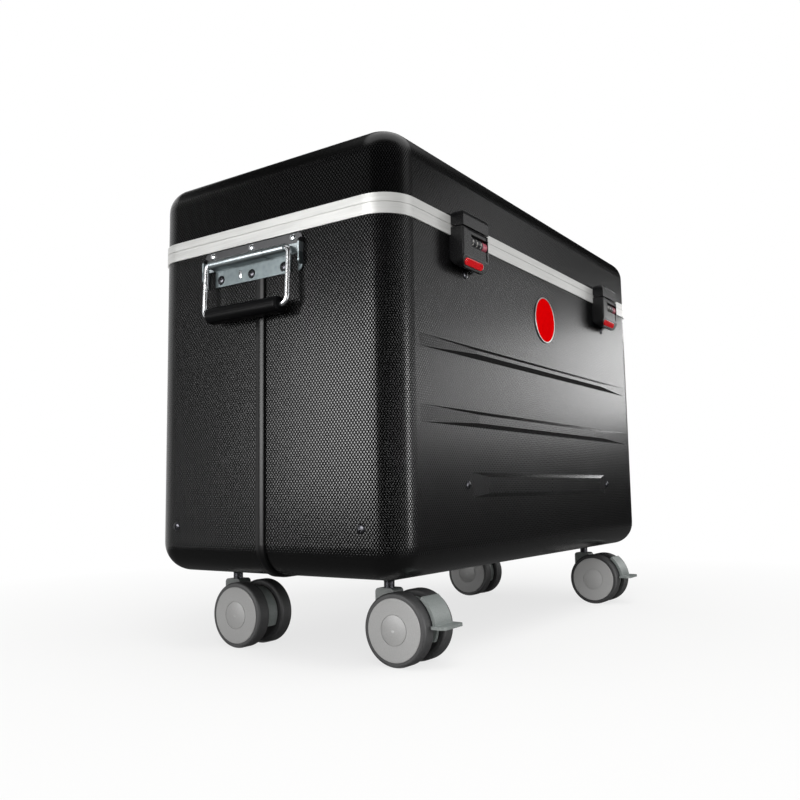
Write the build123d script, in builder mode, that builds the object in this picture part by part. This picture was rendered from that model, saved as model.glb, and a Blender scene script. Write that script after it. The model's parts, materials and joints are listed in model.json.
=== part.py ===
from build123d import *
import os
from math import asin, atan2, cos, degrees, radians, sin

# Device charging trolley: a moulded hard case with a hinged lid and a rack for
# tablets inside, on four twin-wheel castors. Millimetres, +Z up, X along the
# case, the locks at -Y. The origin is on the floor under the middle of the case.

# Fits
running_fit = 0.06  # radial gap of a pin that something turns on
seat_fit = 0.02  # radial gap of a pin that stays in its hole
slide_fit = 0.3  # gap round a piece that slides or drops into its place

# Castors
wheel_radius = 36.5
wheel_width = 17.5
wheel_gap = 20
tread_round = 3
wheel_rim = 6  # rim round the hollow inner side
hub_recess = 5
tyre_thickness = 5.2  # tread beyond the wheel cover
cover_thickness = 2
cover_proud = 0.6
hub_radius = 14.8
hub_proud = 1.2
hub_groove = 0.6
axle_radius = 4
castor_trail = 24
castor_end_margin = 17.5  # flat underside between a castor plate and the end's rounding
castor_side_margin = 5.5
fork_side_gap = 1
fork_rise = 1.5  # fork top above the wheels
fork_neck_length = 23
fender_inset = 6.5  # fender inside the treads
fender_drop = 14  # fender below the axle
fork_round = 4
stem_radius = 5.5
stem_engagement = 24
neck_height = 6.2
cup_radius = 8.5
cup_height = 6
thread_radius = 5
castor_plate_size = 50
castor_plate_thickness = 3
castor_plate_round = 8
nut_radius = 9
nut_height = 8

# Brake pedals of the two front castors
pedal_clearance = 1.5  # shoe off the treads
pedal_thickness = 3.5
pedal_overlap = 5.5  # shoe over each tread
pedal_top_angle = 52
pedal_foot_angle = 6
pedal_lip_overhang = 4  # lip wider than the shoe
pedal_lip_reach = 12
pedal_lip_thickness = 3
pedal_web_width = 8
pedal_hub_radius = 8

# Case shells
case_length = 680
case_depth = 345
case_height = 453
wall = 4
corner_radius = 36
top_radius = 30
bottom_radius = 33
parting_height = 370  # joint of lid and base above the underside

# Ribs pressed into the long sides, as heights above the underside
rib_height = 5
rib_slope = 4.5
rib_runout = 110  # ramp at each end of a long rib
rib_side_margin = 7
upper_rib_low = 230
upper_rib_tall = 13
lower_rib_low = 154
lower_rib_tall = 18
bar_low = 78
bar_tall = 27
bar_inset = 144  # from the case's ends
bar_runout = 28

# Seam strip between the two half shells
seam_width = 11
seam_proud = 2.5
seam_web = 2
seam_inner = 1.5

# Aluminium closing frame
frame_proud = 1.6
base_frame_height = 11.5
lid_frame_height = 9
frame_web = 2
parting_gap = 0.4
inner_leg = 2.2
tongue_gap = 0.8
tongue_height = 6
ledge_drop = 20
ledge_width = 10
ledge_thickness = 2
seal_width = 5
seal_height = 5
seal_gap = 0.1

# Lid lining
foam_thickness = 30

# Rear hinges
hinge_count = 3
hinge_inset = 120  # outer hinges from the case's ends
hinge_length = 80
middle_knuckle = 36
knuckle_radius = 4.5
knuckle_gap = 0.3
leaf_thickness = 2
hinge_pin_radius = 2.2

# Locks
lock_inset = 135  # from the case's ends
lock_width = 56
lock_depth = 17.5
lock_body_height = 43.5
lock_chin = 12  # height of the slanted chin
lock_nose = 4  # lowest line behind the front
lock_heel = 9.5  # rise of the underside towards the case
lock_round = 11
lock_edge = 2
lock_line = 1  # joint between hasp and lock body
lock_back = 4
panel_border = 8
panel_margin = 4
panel_recess = 0.8
hasp_rise = 15.5
hasp_drop = 2.5
hasp_radius = 6.5
hasp_skirt = 4
hasp_lip = 3
hasp_lip_reach = 2
hasp_round = 8
hasp_cheek = 12  # closed end of the hasp
hasp_pin_radius = 2
keeper_width = 14
keeper_radius = 4.4
keeper_gap = 0.6
dial_count = 3
dial_faces = 10
dial_width = 8
dial_gap = 0.6
dial_drop = 12.4  # dial axis below the lock body's top
window_shift = 8  # dial window off the lock's middle
window_width = 36
dial_axle_radius = 1.5
dial_axle_seat = 2
button_length = 38
button_width = 8
button_shift = -4  # button off the lock's middle
button_proud = 1.5
button_depth = 4.5
button_travel = 2

# Carrying handles on the short sides
handle_shift = 13  # middle of the handle behind the middle of the case
plate_width = 144
plate_height = 41
plate_thickness = 2
plate_round = 6
ear_height = 29  # turned-up ends of the plate
ear_reach = 7
ear_round = 5
plate_gap = 1.5  # plate below the closing frame
wire_radius = 3
barrel_wall = 2.1
barrel_stand = 5  # barrel held off the wall
knuckle_step = 0.5  # end knuckles under the middle one
middle_barrel = 54
barrel_drop = 17  # pivot below the plate's top
bail_half_width = 61
bail_drop = 59.5
bail_top_bend = 5
bail_bottom_bend = 8.5
bail_end = 24
arm_slot = 11
grip_thickness = 20
grip_height = 17
grip_round = 7.5
grip_end_round = 3
grip_rest_gap = 0.4
rivet_radius = 4
rivet_shank = 2
rivet_dome = 2
rivet_taper = 35
rivet_row_drop = 4.5
rivet_spacing = 59.5
screw_row_rise = 7.5
screw_spacing = 46.5

# Tablet rack and charging unit
slot_width = 28
divider_thickness = 3
bay_side_margin = 26.5
bay_depth = 235
bay_wall = 3
bay_end_margin = 12  # least deck at the rack's free end
deck_thickness = 3
divider_height = 200
divider_round = 40
charger_length = 104
charger_side_margin = 42.5
charger_end_margin = 3
charger_depth = 150
charger_flange = 5
charger_gap = 12  # between the rack and the charging unit
vent_count = 9
vent_length = 160
vent_width = 4
vent_pitch = 9
vent_depth = 1.5

# Mains inlet in the rear wall
inlet_inset = 110  # from the case's right end
inlet_flange_length = 50
inlet_flange_height = 24
inlet_flange_thickness = 2.5
inlet_body_length = 28
inlet_body_height = 21
inlet_body_depth = 22
inlet_wall = 1.8
inlet_socket_depth = 16
inlet_pin_length = 10
inlet_pin_thickness = 2
inlet_pin_height = 4
inlet_pin_pitch = 7
inlet_pin_count = 3

# Heights and places that follow from the sizes
fork_width = wheel_gap - 2 * fork_side_gap
fork_top = 2 * wheel_radius + fork_rise
shell_bottom = fork_top + neck_height + cup_height
shell_top = shell_bottom + case_height
parting = shell_bottom + parting_height
base_rim = parting - frame_web
lid_low = parting + parting_gap
lid_rim = lid_low + frame_web
front_y = -case_depth / 2
rear_y = case_depth / 2
inside_floor = shell_bottom + wall
cover_radius = wheel_radius - tyre_thickness
fender_radius = wheel_radius - fender_inset
pedal_width = wheel_gap + 2 * pedal_overlap
pedal_lip_width = pedal_width + 2 * pedal_lip_overhang
pedal_inner = wheel_radius + pedal_clearance
pedal_outer = pedal_inner + pedal_thickness
castor_reach = bottom_radius + castor_plate_size / 2
castor_spacing_x = case_length - 2 * (castor_reach + castor_end_margin)
castor_spacing_y = case_depth - 2 * (castor_reach + castor_side_margin)
seal_low = parting + tongue_height + seal_gap
seal_high = seal_low + seal_height
lid_round = min(top_radius, shell_top - seal_high - slide_fit)  # leaves the seal an upright wall

hinge_y = rear_y + frame_proud + knuckle_gap + knuckle_radius
hinge_z = parting + parting_gap / 2
outer_knuckle = (hinge_length - middle_knuckle) / 2 - knuckle_gap

lock_front = front_y - lock_depth
lock_frame_face = front_y - frame_proud
hasp_low = parting - hasp_drop
hasp_pivot_y = lock_front + hasp_radius
hasp_pivot_z = parting + hasp_rise - hasp_radius
lock_top = hasp_low - lock_line
lock_low = lock_top - lock_body_height
chin_z = lock_low + lock_chin
nose_y = lock_front + lock_nose
hasp_reach = lock_frame_face - slide_fit - hasp_pivot_y  # hasp's back just off the frame
hasp_swing = hasp_pivot_z - lock_top - slide_fit  # turning ends just clear the lock body
dial_radius = (lock_depth - lock_back - panel_recess) / 2
dial_y = front_y - lock_back - slide_fit - dial_radius
dial_z = lock_top - dial_drop
dial_pitch = dial_width + dial_gap
first_dial = window_shift - window_width / 2 + dial_gap + dial_width / 2

plate_top = parting - base_frame_height - plate_gap
plate_low = plate_top - plate_height
barrel_radius = wire_radius + barrel_wall
barrel_length = 2 * (bail_half_width - bail_top_bend - slide_fit)
pivot_z = plate_top - barrel_drop
pivot_reach = barrel_radius + barrel_stand
grip_length = 2 * (bail_half_width - bail_bottom_bend)
grip_stand_off = seam_proud + grip_rest_gap + grip_thickness / 2
bail_tilt = asin((grip_stand_off - pivot_reach) / bail_drop)

deck_low = parting - ledge_drop + ledge_thickness
deck_top = deck_low + deck_thickness
deck_inset = wall + inner_leg + slide_fit
well_end = case_length / 2 - deck_inset - ledge_width
well_side = case_depth / 2 - deck_inset - ledge_width
charger_width = 2 * (well_side - charger_side_margin)
charger_middle = well_end - charger_end_margin - charger_flange - charger_length / 2
bay_right = charger_middle - charger_length / 2 - charger_flange - charger_gap - bay_wall
bay_room = bay_right + well_end - bay_end_margin - bay_wall
slot_pitch = slot_width + divider_thickness
slot_count = int((bay_room + divider_thickness) / slot_pitch)
bay_length = slot_count * slot_pitch - divider_thickness
bay_left = bay_right - bay_length
bay_middle = (bay_left + bay_right) / 2
bay_width = 2 * (well_side - bay_side_margin)
bay_floor = deck_top - bay_depth
inlet_x = case_length / 2 - inlet_inset
inlet_height = (bar_low + bar_tall + lower_rib_low) / 2

hinge_spacing = (case_length - 2 * hinge_inset) / (hinge_count - 1)
hinge_places = [i * hinge_spacing + hinge_inset - case_length / 2 for i in range(hinge_count)]
lock_sides = {"left": lock_inset - case_length / 2, "right": case_length / 2 - lock_inset}
handle_sides = {"left": -1, "right": 1}
castor_places = {
    "front_left": (-castor_spacing_x / 2, -castor_spacing_y / 2),
    "front_right": (castor_spacing_x / 2, -castor_spacing_y / 2),
    "rear_left": (-castor_spacing_x / 2, castor_spacing_y / 2),
    "rear_right": (castor_spacing_x / 2, castor_spacing_y / 2),
}
braked_castors = ("front_left", "front_right")
front_face = Plane(origin=(0, front_y, shell_bottom), x_dir=(1, 0, 0), z_dir=(0, -1, 0))
rear_face = Plane(origin=(0, rear_y, shell_bottom), x_dir=(-1, 0, 0), z_dir=(0, 1, 0))

os.makedirs("parts", exist_ok=True)


def save(part, name):
    """Label a finished piece and write it as its own node."""
    part.label = name
    export_step(part, f"parts/{name}.step")


def case_block(inset, low, high, low_round=0.0, high_round=0.0):
    """Solid block of the case's outline, drawn in by inset, with rounded ends."""
    with BuildPart() as block:
        with BuildSketch(Plane.XY.offset(low)):
            RectangleRounded(case_length - 2 * inset, case_depth - 2 * inset, corner_radius - inset)
        extrude(amount=high - low)
        if low_round:
            fillet(block.faces().sort_by(Axis.Z)[0].edges(), low_round)
        if high_round:
            fillet(block.faces().sort_by(Axis.Z)[-1].edges(), high_round)
    return block.part


def ring(outer, inner, low, high):
    """Band round the case between two offsets of its outline."""
    with BuildPart() as band:
        with BuildSketch(Plane.XY.offset(low)):
            RectangleRounded(case_length + 2 * outer, case_depth + 2 * outer, corner_radius + outer)
            RectangleRounded(
                case_length + 2 * inner,
                case_depth + 2 * inner,
                corner_radius + inner,
                mode=Mode.SUBTRACT,
            )
        extrude(amount=high - low)
    return band.part


def pressed_ribs(face):
    """The three ribs of a long side, rising from the given plane to flat crests."""
    long_rib = case_length - 2 * (corner_radius + rib_side_margin)
    sizes = [
        (upper_rib_low, upper_rib_tall, long_rib, rib_runout),
        (lower_rib_low, lower_rib_tall, long_rib, rib_runout),
        (bar_low, bar_tall, case_length - 2 * bar_inset, bar_runout),
    ]
    with BuildPart() as ribs:
        for low, tall, length, runout in sizes:
            with BuildSketch(face):
                with Locations((0, low + tall / 2)):
                    Rectangle(length, tall)
            with BuildSketch(face.offset(rib_height)):
                with Locations((0, low + tall / 2)):
                    Rectangle(length - 2 * runout, tall - 2 * rib_slope)
            loft()
    return ribs.part


# Half shells of the base: one pressing for the front and one for the rear, which
# meet at the seam strip. The rear one is cut for the mains inlet.
shell_outside = case_block(0, shell_bottom, base_rim, low_round=bottom_radius)
shell_inside = case_block(wall, inside_floor, base_rim, low_round=bottom_radius - wall)


def half_shell(face, keep):
    """One half of the base shell with its ribs and the holes for two castor stems."""
    ribs_outside = pressed_ribs(face)
    ribs_inside = pressed_ribs(face.offset(-wall))
    seam_side = Plane.XZ.offset(seam_web / 2 if keep == Keep.TOP else -seam_web / 2)
    with BuildPart() as shell:
        add(shell_outside)
        add(shell_inside, mode=Mode.SUBTRACT)
        add(ribs_outside)
        add(ribs_inside, mode=Mode.SUBTRACT)
        with BuildSketch(Plane.XY.offset(shell_bottom)):
            with GridLocations(castor_spacing_x, castor_spacing_y, 2, 2):
                Circle(thread_radius + seat_fit)
        extrude(amount=wall, mode=Mode.SUBTRACT)
        if keep == Keep.BOTTOM:
            with BuildSketch(face):
                with Locations((-inlet_x, inlet_height)):
                    Rectangle(inlet_body_length + 2 * slide_fit, inlet_body_height + 2 * slide_fit)
            extrude(amount=-wall, mode=Mode.SUBTRACT)
        split(bisect_by=seam_side, keep=keep)
    return shell.part


save(half_shell(front_face, Keep.TOP), "front_shell")
save(half_shell(rear_face, Keep.BOTTOM), "rear_shell")


# Seam strip: an H-section run down both short sides and under the case. Its
# outer flange ends below the handle plates.
def seam_outline(grow, top):
    """U-shaped outline of the case seen from the front, grown by an offset."""
    low = shell_bottom - grow
    with BuildSketch() as outline:
        with Locations((0, (low + top) / 2)):
            Rectangle(case_length + 2 * grow, top - low)
        fillet(outline.vertices().group_by(Axis.Y)[0], bottom_radius + grow)
    return outline.sketch


seam_top = plate_low - slide_fit
seam_bands = [
    (seam_proud, 0, seam_top, seam_width),
    (0, -wall, base_rim, seam_web),
    (-wall, -wall - seam_inner, deck_low - ledge_thickness, seam_width),
]
with BuildPart() as seam_strip:
    for outer, inner, top, width in seam_bands:
        with BuildSketch(Plane.XZ):
            add(seam_outline(outer, top))
            add(seam_outline(inner, top), mode=Mode.SUBTRACT)
        extrude(amount=width / 2, both=True)
save(seam_strip.part, "seam_strip")


# Base frame: a channel over the shells' rim, with a tongue that the lid closes
# over and an inner ledge that carries the rack.
leg_inside = -wall - inner_leg
base_frame_rings = [
    ring(frame_proud, 0, parting - base_frame_height, parting),
    ring(frame_proud, leg_inside, base_rim, parting),
    ring(-wall, leg_inside, parting - ledge_drop, parting),
    ring(-wall - tongue_gap, leg_inside, parting, parting + tongue_height),
    ring(
        leg_inside,
        leg_inside - ledge_width,
        parting - ledge_drop,
        parting - ledge_drop + ledge_thickness,
    ),
]
with BuildPart() as base_frame:
    for band in base_frame_rings:
        add(band)
save(base_frame.part, "base_frame")


# Lid: the shell, its frame, the seal that lands on the tongue, and a foam sheet
# on the flat part of the lid's inside.
lid_outside = case_block(0, lid_rim, shell_top, high_round=lid_round)
lid_inside = case_block(wall, lid_rim, shell_top - wall, high_round=lid_round - wall)
with BuildPart() as lid_shell:
    add(lid_outside)
    add(lid_inside, mode=Mode.SUBTRACT)
save(lid_shell.part, "lid_shell")

lid_frame_rings = [
    ring(frame_proud, 0, lid_low, lid_low + lid_frame_height),
    ring(frame_proud, -wall, lid_low, lid_rim),
]
with BuildPart() as lid_frame:
    for band in lid_frame_rings:
        add(band)
save(lid_frame.part, "lid_frame")

lid_seal = ring(-wall, -wall - seal_width, seal_low, seal_high)
save(lid_seal, "lid_seal")

foam_top = shell_top - wall - slide_fit
lid_foam = case_block(top_radius, foam_top - foam_thickness, foam_top)
save(lid_foam, "lid_foam")


# Rear hinges: two knuckles on each base leaf, one on each lid leaf, one pin.
def hinge_leaves(starts, knuckle, plate_span, web_span, bore):
    """Leaves of one side: knuckles at the given starts, a web to each, a plate below."""
    plate_back = rear_y + frame_proud
    plate_front = plate_back + leaf_thickness
    plate_middle = (plate_back + plate_front) / 2
    with BuildPart() as leaves:
        for place in hinge_places:
            for start in starts:
                with BuildSketch(Plane.YZ.offset(place + start)):
                    with Locations((hinge_y, hinge_z)):
                        Circle(knuckle_radius)
                    with Locations((plate_middle, sum(web_span) / 2)):
                        Rectangle(leaf_thickness, web_span[1] - web_span[0])
                extrude(amount=knuckle)
            with BuildSketch(Plane.YZ.offset(place - hinge_length / 2)):
                with Locations((plate_middle, sum(plate_span) / 2)):
                    Rectangle(leaf_thickness, plate_span[1] - plate_span[0])
            extrude(amount=hinge_length)
            with BuildSketch(Plane.YZ.offset(place - hinge_length / 2)):
                with Locations((hinge_y, hinge_z)):
                    Circle(bore)
            extrude(amount=hinge_length, mode=Mode.SUBTRACT)
    return leaves.part


clear_of_knuckle = knuckle_radius + knuckle_gap
base_leaf_low = parting - base_frame_height
lid_leaf_high = lid_low + lid_frame_height
hinge_base_leaves = hinge_leaves(
    (-hinge_length / 2, hinge_length / 2 - outer_knuckle),
    outer_knuckle,
    (base_leaf_low, hinge_z - clear_of_knuckle),
    (base_leaf_low, hinge_z),
    hinge_pin_radius + running_fit,
)
save(hinge_base_leaves, "hinge_base_leaves")

hinge_lid_leaves = hinge_leaves(
    (-middle_knuckle / 2,),
    middle_knuckle,
    (hinge_z + clear_of_knuckle, lid_leaf_high),
    (hinge_z, lid_leaf_high),
    hinge_pin_radius + seat_fit,
)
save(hinge_lid_leaves, "hinge_lid_leaves")

with BuildPart() as hinge_pins:
    for place in hinge_places:
        with BuildSketch(Plane.YZ.offset(place)):
            with Locations((hinge_y, hinge_z)):
                Circle(hinge_pin_radius)
        extrude(amount=hinge_length / 2, both=True)
    for lock_x in lock_sides.values():
        with BuildSketch(Plane.YZ.offset(lock_x)):
            with Locations((hasp_pivot_y, hasp_pivot_z)):
                Circle(hasp_pin_radius)
        extrude(amount=lock_width / 2 - lock_edge, both=True)
save(hinge_pins.part, "hinge_pins")


# Locks: a body with a slanted chin and a curved underside on the base, a hasp
# that hangs from a keeper on the lid frame, number dials on an axle, and a
# release button in the chin.
def lock_body(lock_x):
    """Lock body with its panel, the dial pocket and the button's pocket."""
    window_x = lock_x + window_shift
    panel_x = lock_x + (panel_border - panel_margin) / 2
    panel_width = lock_width - panel_border - panel_margin
    pocket_high = 2 * (dial_radius + slide_fit)
    button_plane = chin_plane(lock_x)
    with BuildPart() as body:
        with BuildSketch(Plane.YZ.offset(lock_x)):
            with BuildLine():
                underside = TangentArc((nose_y, lock_low), (front_y, lock_low + lock_heel), tangent=(1, 0))
                Polyline(
                    underside @ 1,
                    (front_y, lock_top),
                    (lock_front, lock_top),
                    (lock_front, chin_z),
                    underside @ 0,
                )
            make_face()
        extrude(amount=lock_width / 2, both=True)
        with BuildSketch(front_face) as outline:
            with Locations((lock_x, (lock_low + lock_top) / 2 - shell_bottom)):
                Rectangle(lock_width, lock_body_height)
            fillet(outline.vertices().group_by(Axis.Y)[0], lock_round)
        extrude(amount=lock_depth, mode=Mode.INTERSECT)
        fillet(body.faces().sort_by(Axis.Y)[0].edges(), lock_edge)
        with BuildSketch(Plane.YZ.offset(lock_x)):
            with Locations((front_y - frame_proud / 2, parting - base_frame_height / 2)):
                Rectangle(frame_proud, base_frame_height)
        extrude(amount=lock_width / 2, both=True, mode=Mode.SUBTRACT)
        with BuildSketch(front_face.offset(lock_depth)):
            with Locations((panel_x, (chin_z + lock_top) / 2 - shell_bottom)):
                Rectangle(panel_width, lock_top - chin_z - 2 * lock_edge)
        extrude(amount=-panel_recess, mode=Mode.SUBTRACT)
        with BuildSketch(front_face.offset(lock_back)):
            with Locations((window_x, dial_z - shell_bottom)):
                Rectangle(window_width, pocket_high)
        extrude(amount=lock_depth, mode=Mode.SUBTRACT)
        with BuildSketch(Plane.YZ.offset(window_x)):
            with Locations((dial_y, dial_z)):
                Circle(dial_axle_radius + seat_fit)
        extrude(amount=window_width / 2 + dial_axle_seat, both=True, mode=Mode.SUBTRACT)
        with BuildSketch(button_plane):
            SlotOverall(button_length + 2 * slide_fit, button_width + 2 * slide_fit)
        extrude(amount=-button_depth - button_travel - slide_fit, mode=Mode.SUBTRACT)
    return body.part


def chin_plane(lock_x):
    """Plane of the lock's slanted chin at the button's middle, facing forward and down."""
    return Plane(
        origin=(lock_x + button_shift, (lock_front + nose_y) / 2, (lock_low + chin_z) / 2),
        x_dir=(1, 0, 0),
        z_dir=(0, -lock_chin, -lock_nose),
    )


def lock_hasp(lock_x):
    """Hasp with rounded shoulders: a barrel round its pin, a skirt, a lip and closed ends."""
    gap_width = keeper_width + 2 * keeper_gap
    gap_front = hasp_pivot_y - keeper_radius - keeper_gap
    gap_low = hasp_pivot_z - keeper_radius - keeper_gap
    lip_back = hasp_pivot_y + hasp_lip_reach
    barrel_back = hasp_pivot_y + hasp_radius
    cheek_back = hasp_pivot_y + hasp_reach
    barrel_top = hasp_pivot_z + hasp_radius
    with BuildPart() as hasp:
        with BuildSketch(Plane.YZ.offset(lock_x)):
            with Locations((hasp_pivot_y, hasp_pivot_z)):
                Circle(hasp_radius)
            with Locations((lock_front + hasp_skirt / 2, (hasp_low + hasp_pivot_z) / 2)):
                Rectangle(hasp_skirt, hasp_pivot_z - hasp_low)
            with Locations(((lock_front + lip_back) / 2, hasp_low + hasp_lip / 2)):
                Rectangle(lip_back - lock_front, hasp_lip)
        extrude(amount=lock_width / 2, both=True)
        for end in (-1, 1):
            with BuildSketch(Plane.YZ.offset(lock_x + end * (lock_width - hasp_cheek) / 2)):
                with Locations((hasp_pivot_y, hasp_pivot_z)):
                    Circle(hasp_swing)
                with Locations((cheek_back, hasp_low)):
                    Rectangle(
                        cheek_back - lock_front,
                        hasp_pivot_z - hasp_low,
                        align=(Align.MAX, Align.MIN),
                        mode=Mode.INTERSECT,
                    )
                with Locations((hasp_pivot_y, hasp_pivot_z)):
                    Circle(hasp_reach, arc_size=90, align=(Align.NONE, Align.NONE))
            extrude(amount=hasp_cheek / 2, both=True)
        with BuildSketch(front_face) as outline:
            with Locations((lock_x, (hasp_low + barrel_top) / 2 - shell_bottom)):
                Rectangle(lock_width, barrel_top - hasp_low)
            fillet(outline.vertices().group_by(Axis.Y)[-1], hasp_round)
        extrude(amount=lock_depth, mode=Mode.INTERSECT)
        with BuildSketch(Plane.YZ.offset(lock_x)):
            with Locations(((gap_front + barrel_back) / 2, (gap_low + barrel_top) / 2)):
                Rectangle(barrel_back - gap_front, barrel_top - gap_low)
        extrude(amount=gap_width / 2, both=True, mode=Mode.SUBTRACT)
        with BuildSketch(Plane.YZ.offset(lock_x)):
            with Locations((hasp_pivot_y, hasp_pivot_z)):
                Circle(hasp_pin_radius + running_fit)
        extrude(amount=lock_width / 2 - lock_edge + slide_fit, both=True, mode=Mode.SUBTRACT)
    return hasp.part


def release_button(lock_x):
    """Button that stands out of the slanted chin and is pressed into it."""
    with BuildPart() as button:
        with BuildSketch(chin_plane(lock_x).offset(-button_depth)):
            SlotOverall(button_length, button_width)
        extrude(amount=button_depth + button_proud)
        fillet(button.faces().sort_by(Axis.Y)[0].edges(), button_proud / 2)
    return button.part


def number_dial(dial_x):
    """Ten-sided number wheel on the dial axle."""
    with BuildPart() as dial:
        with BuildSketch(Plane.YZ.offset(dial_x)):
            with Locations((dial_y, dial_z)):
                RegularPolygon(dial_radius, dial_faces, rotation=180 / dial_faces)
                Circle(dial_axle_radius + running_fit, mode=Mode.SUBTRACT)
        extrude(amount=dial_width / 2, both=True)
    return dial.part


for side, lock_x in lock_sides.items():
    save(lock_body(lock_x), f"lock_body_{side}")
    save(lock_hasp(lock_x), f"lock_hasp_{side}")
    save(release_button(lock_x), f"release_button_{side}")
    for number in range(dial_count):
        dial_x = lock_x + first_dial + number * dial_pitch
        save(number_dial(dial_x), f"dial_{side}_{number + 1}")

with BuildPart() as dial_axles:
    for lock_x in lock_sides.values():
        with BuildSketch(Plane.YZ.offset(lock_x + window_shift)):
            with Locations((dial_y, dial_z)):
                Circle(dial_axle_radius)
        extrude(amount=window_width / 2 + dial_axle_seat, both=True)
save(dial_axles.part, "dial_axles")

with BuildPart() as lock_keepers:
    for lock_x in lock_sides.values():
        with BuildSketch(Plane.YZ.offset(lock_x)):
            with Locations((hasp_pivot_y, hasp_pivot_z)):
                Circle(keeper_radius)
            with Locations(((hasp_pivot_y + lock_frame_face) / 2, hasp_pivot_z)):
                Rectangle(lock_frame_face - hasp_pivot_y, 2 * keeper_radius)
            with Locations((hasp_pivot_y, hasp_pivot_z)):
                Circle(hasp_pin_radius + seat_fit, mode=Mode.SUBTRACT)
        extrude(amount=keeper_width / 2, both=True)
save(lock_keepers.part, "lock_keepers")


# Handles: a steel plate with a rolled barrel, and a wire bail with a grip that
# hangs with the grip against the case.
def side_plane(side, height):
    """Plane of a short side at the handle's middle, facing outwards."""
    return Plane(
        origin=(side * case_length / 2, handle_shift, height),
        x_dir=(0, side, 0),
        z_dir=(side, 0, 0),
    )


def handle_plate(side):
    """Plate with slots for the bail's arms, a rolled barrel and turned-up ends."""
    face = side_plane(side, (plate_top + plate_low) / 2)
    slot_high = pivot_z - barrel_radius - plate_low
    barrel_middle = side * (case_length / 2 + pivot_reach)
    knuckles = [(barrel_length, barrel_radius - knuckle_step), (middle_barrel, barrel_radius)]
    with BuildPart() as plate:
        with BuildSketch(face):
            RectangleRounded(plate_width, plate_height, plate_round)
            with Locations((0, (slot_high - plate_height) / 2)):
                with GridLocations(2 * bail_half_width, 0, 2, 1):
                    Rectangle(arm_slot, slot_high, mode=Mode.SUBTRACT)
        extrude(amount=plate_thickness)
        with BuildSketch(face):
            with Locations(*plate_fastenings()):
                Circle(rivet_shank + seat_fit)
        extrude(amount=plate_thickness, mode=Mode.SUBTRACT)
        for length, radius in knuckles:
            with BuildSketch(Plane.XZ.offset(-handle_shift)):
                with Locations((barrel_middle, pivot_z)):
                    Circle(radius)
                with Locations((side * (case_length + pivot_reach) / 2, pivot_z)):
                    Rectangle(pivot_reach, 2 * radius)
            extrude(amount=length / 2, both=True)
        for end in (-1, 1):
            with BuildSketch(Plane.XZ.offset(-handle_shift - end * plate_width / 2)) as ear:
                with Locations((side * (case_length + ear_reach) / 2, (plate_top + plate_low) / 2)):
                    Rectangle(ear_reach, ear_height)
                fillet(ear.vertices().sort_by(Axis.X)[::side][2:], ear_round)
            extrude(amount=end * plate_thickness)
        with BuildSketch(Plane.XZ.offset(-handle_shift)):
            with Locations((barrel_middle, pivot_z)):
                Circle(wire_radius + running_fit)
        extrude(amount=barrel_length / 2, both=True, mode=Mode.SUBTRACT)
    return plate.part


def plate_fastenings():
    """Places of the rivets and screws on a handle plate, from the plate's middle."""
    upper = plate_height / 2 - rivet_row_drop
    lower = screw_row_rise - plate_height / 2
    rivets = [(i * rivet_spacing, upper) for i in (-1, 0, 1)]
    screws = [(i * screw_spacing, lower) for i in (-1, 0, 1)]
    return rivets + screws


def bail_plane(side):
    """Plane that the hanging bail lies in, through its pivot."""
    return Plane(
        origin=(side * (case_length / 2 + pivot_reach), handle_shift, pivot_z),
        x_dir=(0, 1, 0),
        z_dir=(cos(bail_tilt), 0, side * sin(bail_tilt)),
    )


def handle_bail(side):
    """Bent wire: two ends in the barrel, two arms and the bar inside the grip."""
    with BuildPart() as bail:
        with BuildLine(bail_plane(side)) as path:
            FilletPolyline(
                (bail_end, 0),
                (bail_half_width, 0),
                (bail_half_width, -bail_drop),
                (-bail_half_width, -bail_drop),
                (-bail_half_width, 0),
                (-bail_end, 0),
                radius=[bail_top_bend, bail_bottom_bend, bail_bottom_bend, bail_top_bend],
            )
        with BuildSketch(Plane(origin=path.line @ 0, z_dir=path.line % 0)):
            Circle(wire_radius)
        sweep()
    return bail.part


def handle_grip(side):
    """Moulded grip sleeve round the bail's lower bar."""
    bar = bail_plane(side).from_local_coords(Vector(0, -bail_drop, 0))
    section = Plane(origin=bar, x_dir=bail_plane(side).z_dir, z_dir=(0, 1, 0))
    with BuildPart() as grip:
        with BuildSketch(section):
            RectangleRounded(grip_thickness, grip_height, grip_round)
            Circle(wire_radius + seat_fit, mode=Mode.SUBTRACT)
        extrude(amount=grip_length / 2, both=True)
        ends = grip.faces().sort_by(Axis.Y)
        fillet(ends[0].outer_wire().edges() + ends[-1].outer_wire().edges(), grip_end_round)
    return grip.part


for name, side in handle_sides.items():
    save(handle_plate(side), f"handle_plate_{name}")
    save(handle_bail(side), f"handle_bail_{name}")
    save(handle_grip(side), f"handle_grip_{name}")

with BuildPart() as handle_rivets:
    for side in handle_sides.values():
        plate_face = side_plane(side, (plate_top + plate_low) / 2)
        with BuildSketch(plate_face):
            with Locations(*plate_fastenings()):
                Circle(rivet_shank)
        extrude(amount=plate_thickness)
        with BuildSketch(plate_face.offset(plate_thickness)):
            with Locations(*plate_fastenings()):
                Circle(rivet_radius)
        extrude(amount=rivet_dome, taper=rivet_taper)
save(handle_rivets.part, "handle_rivets")


# Castor fixings: a plate inside the shell, and a stem with a flared cup below
# the shell and a nut on top of the plate.
plate_high = inside_floor + castor_plate_thickness
with BuildPart() as castor_plates:
    with BuildSketch(Plane.XY.offset(inside_floor)):
        with GridLocations(castor_spacing_x, castor_spacing_y, 2, 2):
            RectangleRounded(castor_plate_size, castor_plate_size, castor_plate_round)
            Circle(thread_radius + seat_fit, mode=Mode.SUBTRACT)
    extrude(amount=castor_plate_thickness)
save(castor_plates.part, "castor_plates")

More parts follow.
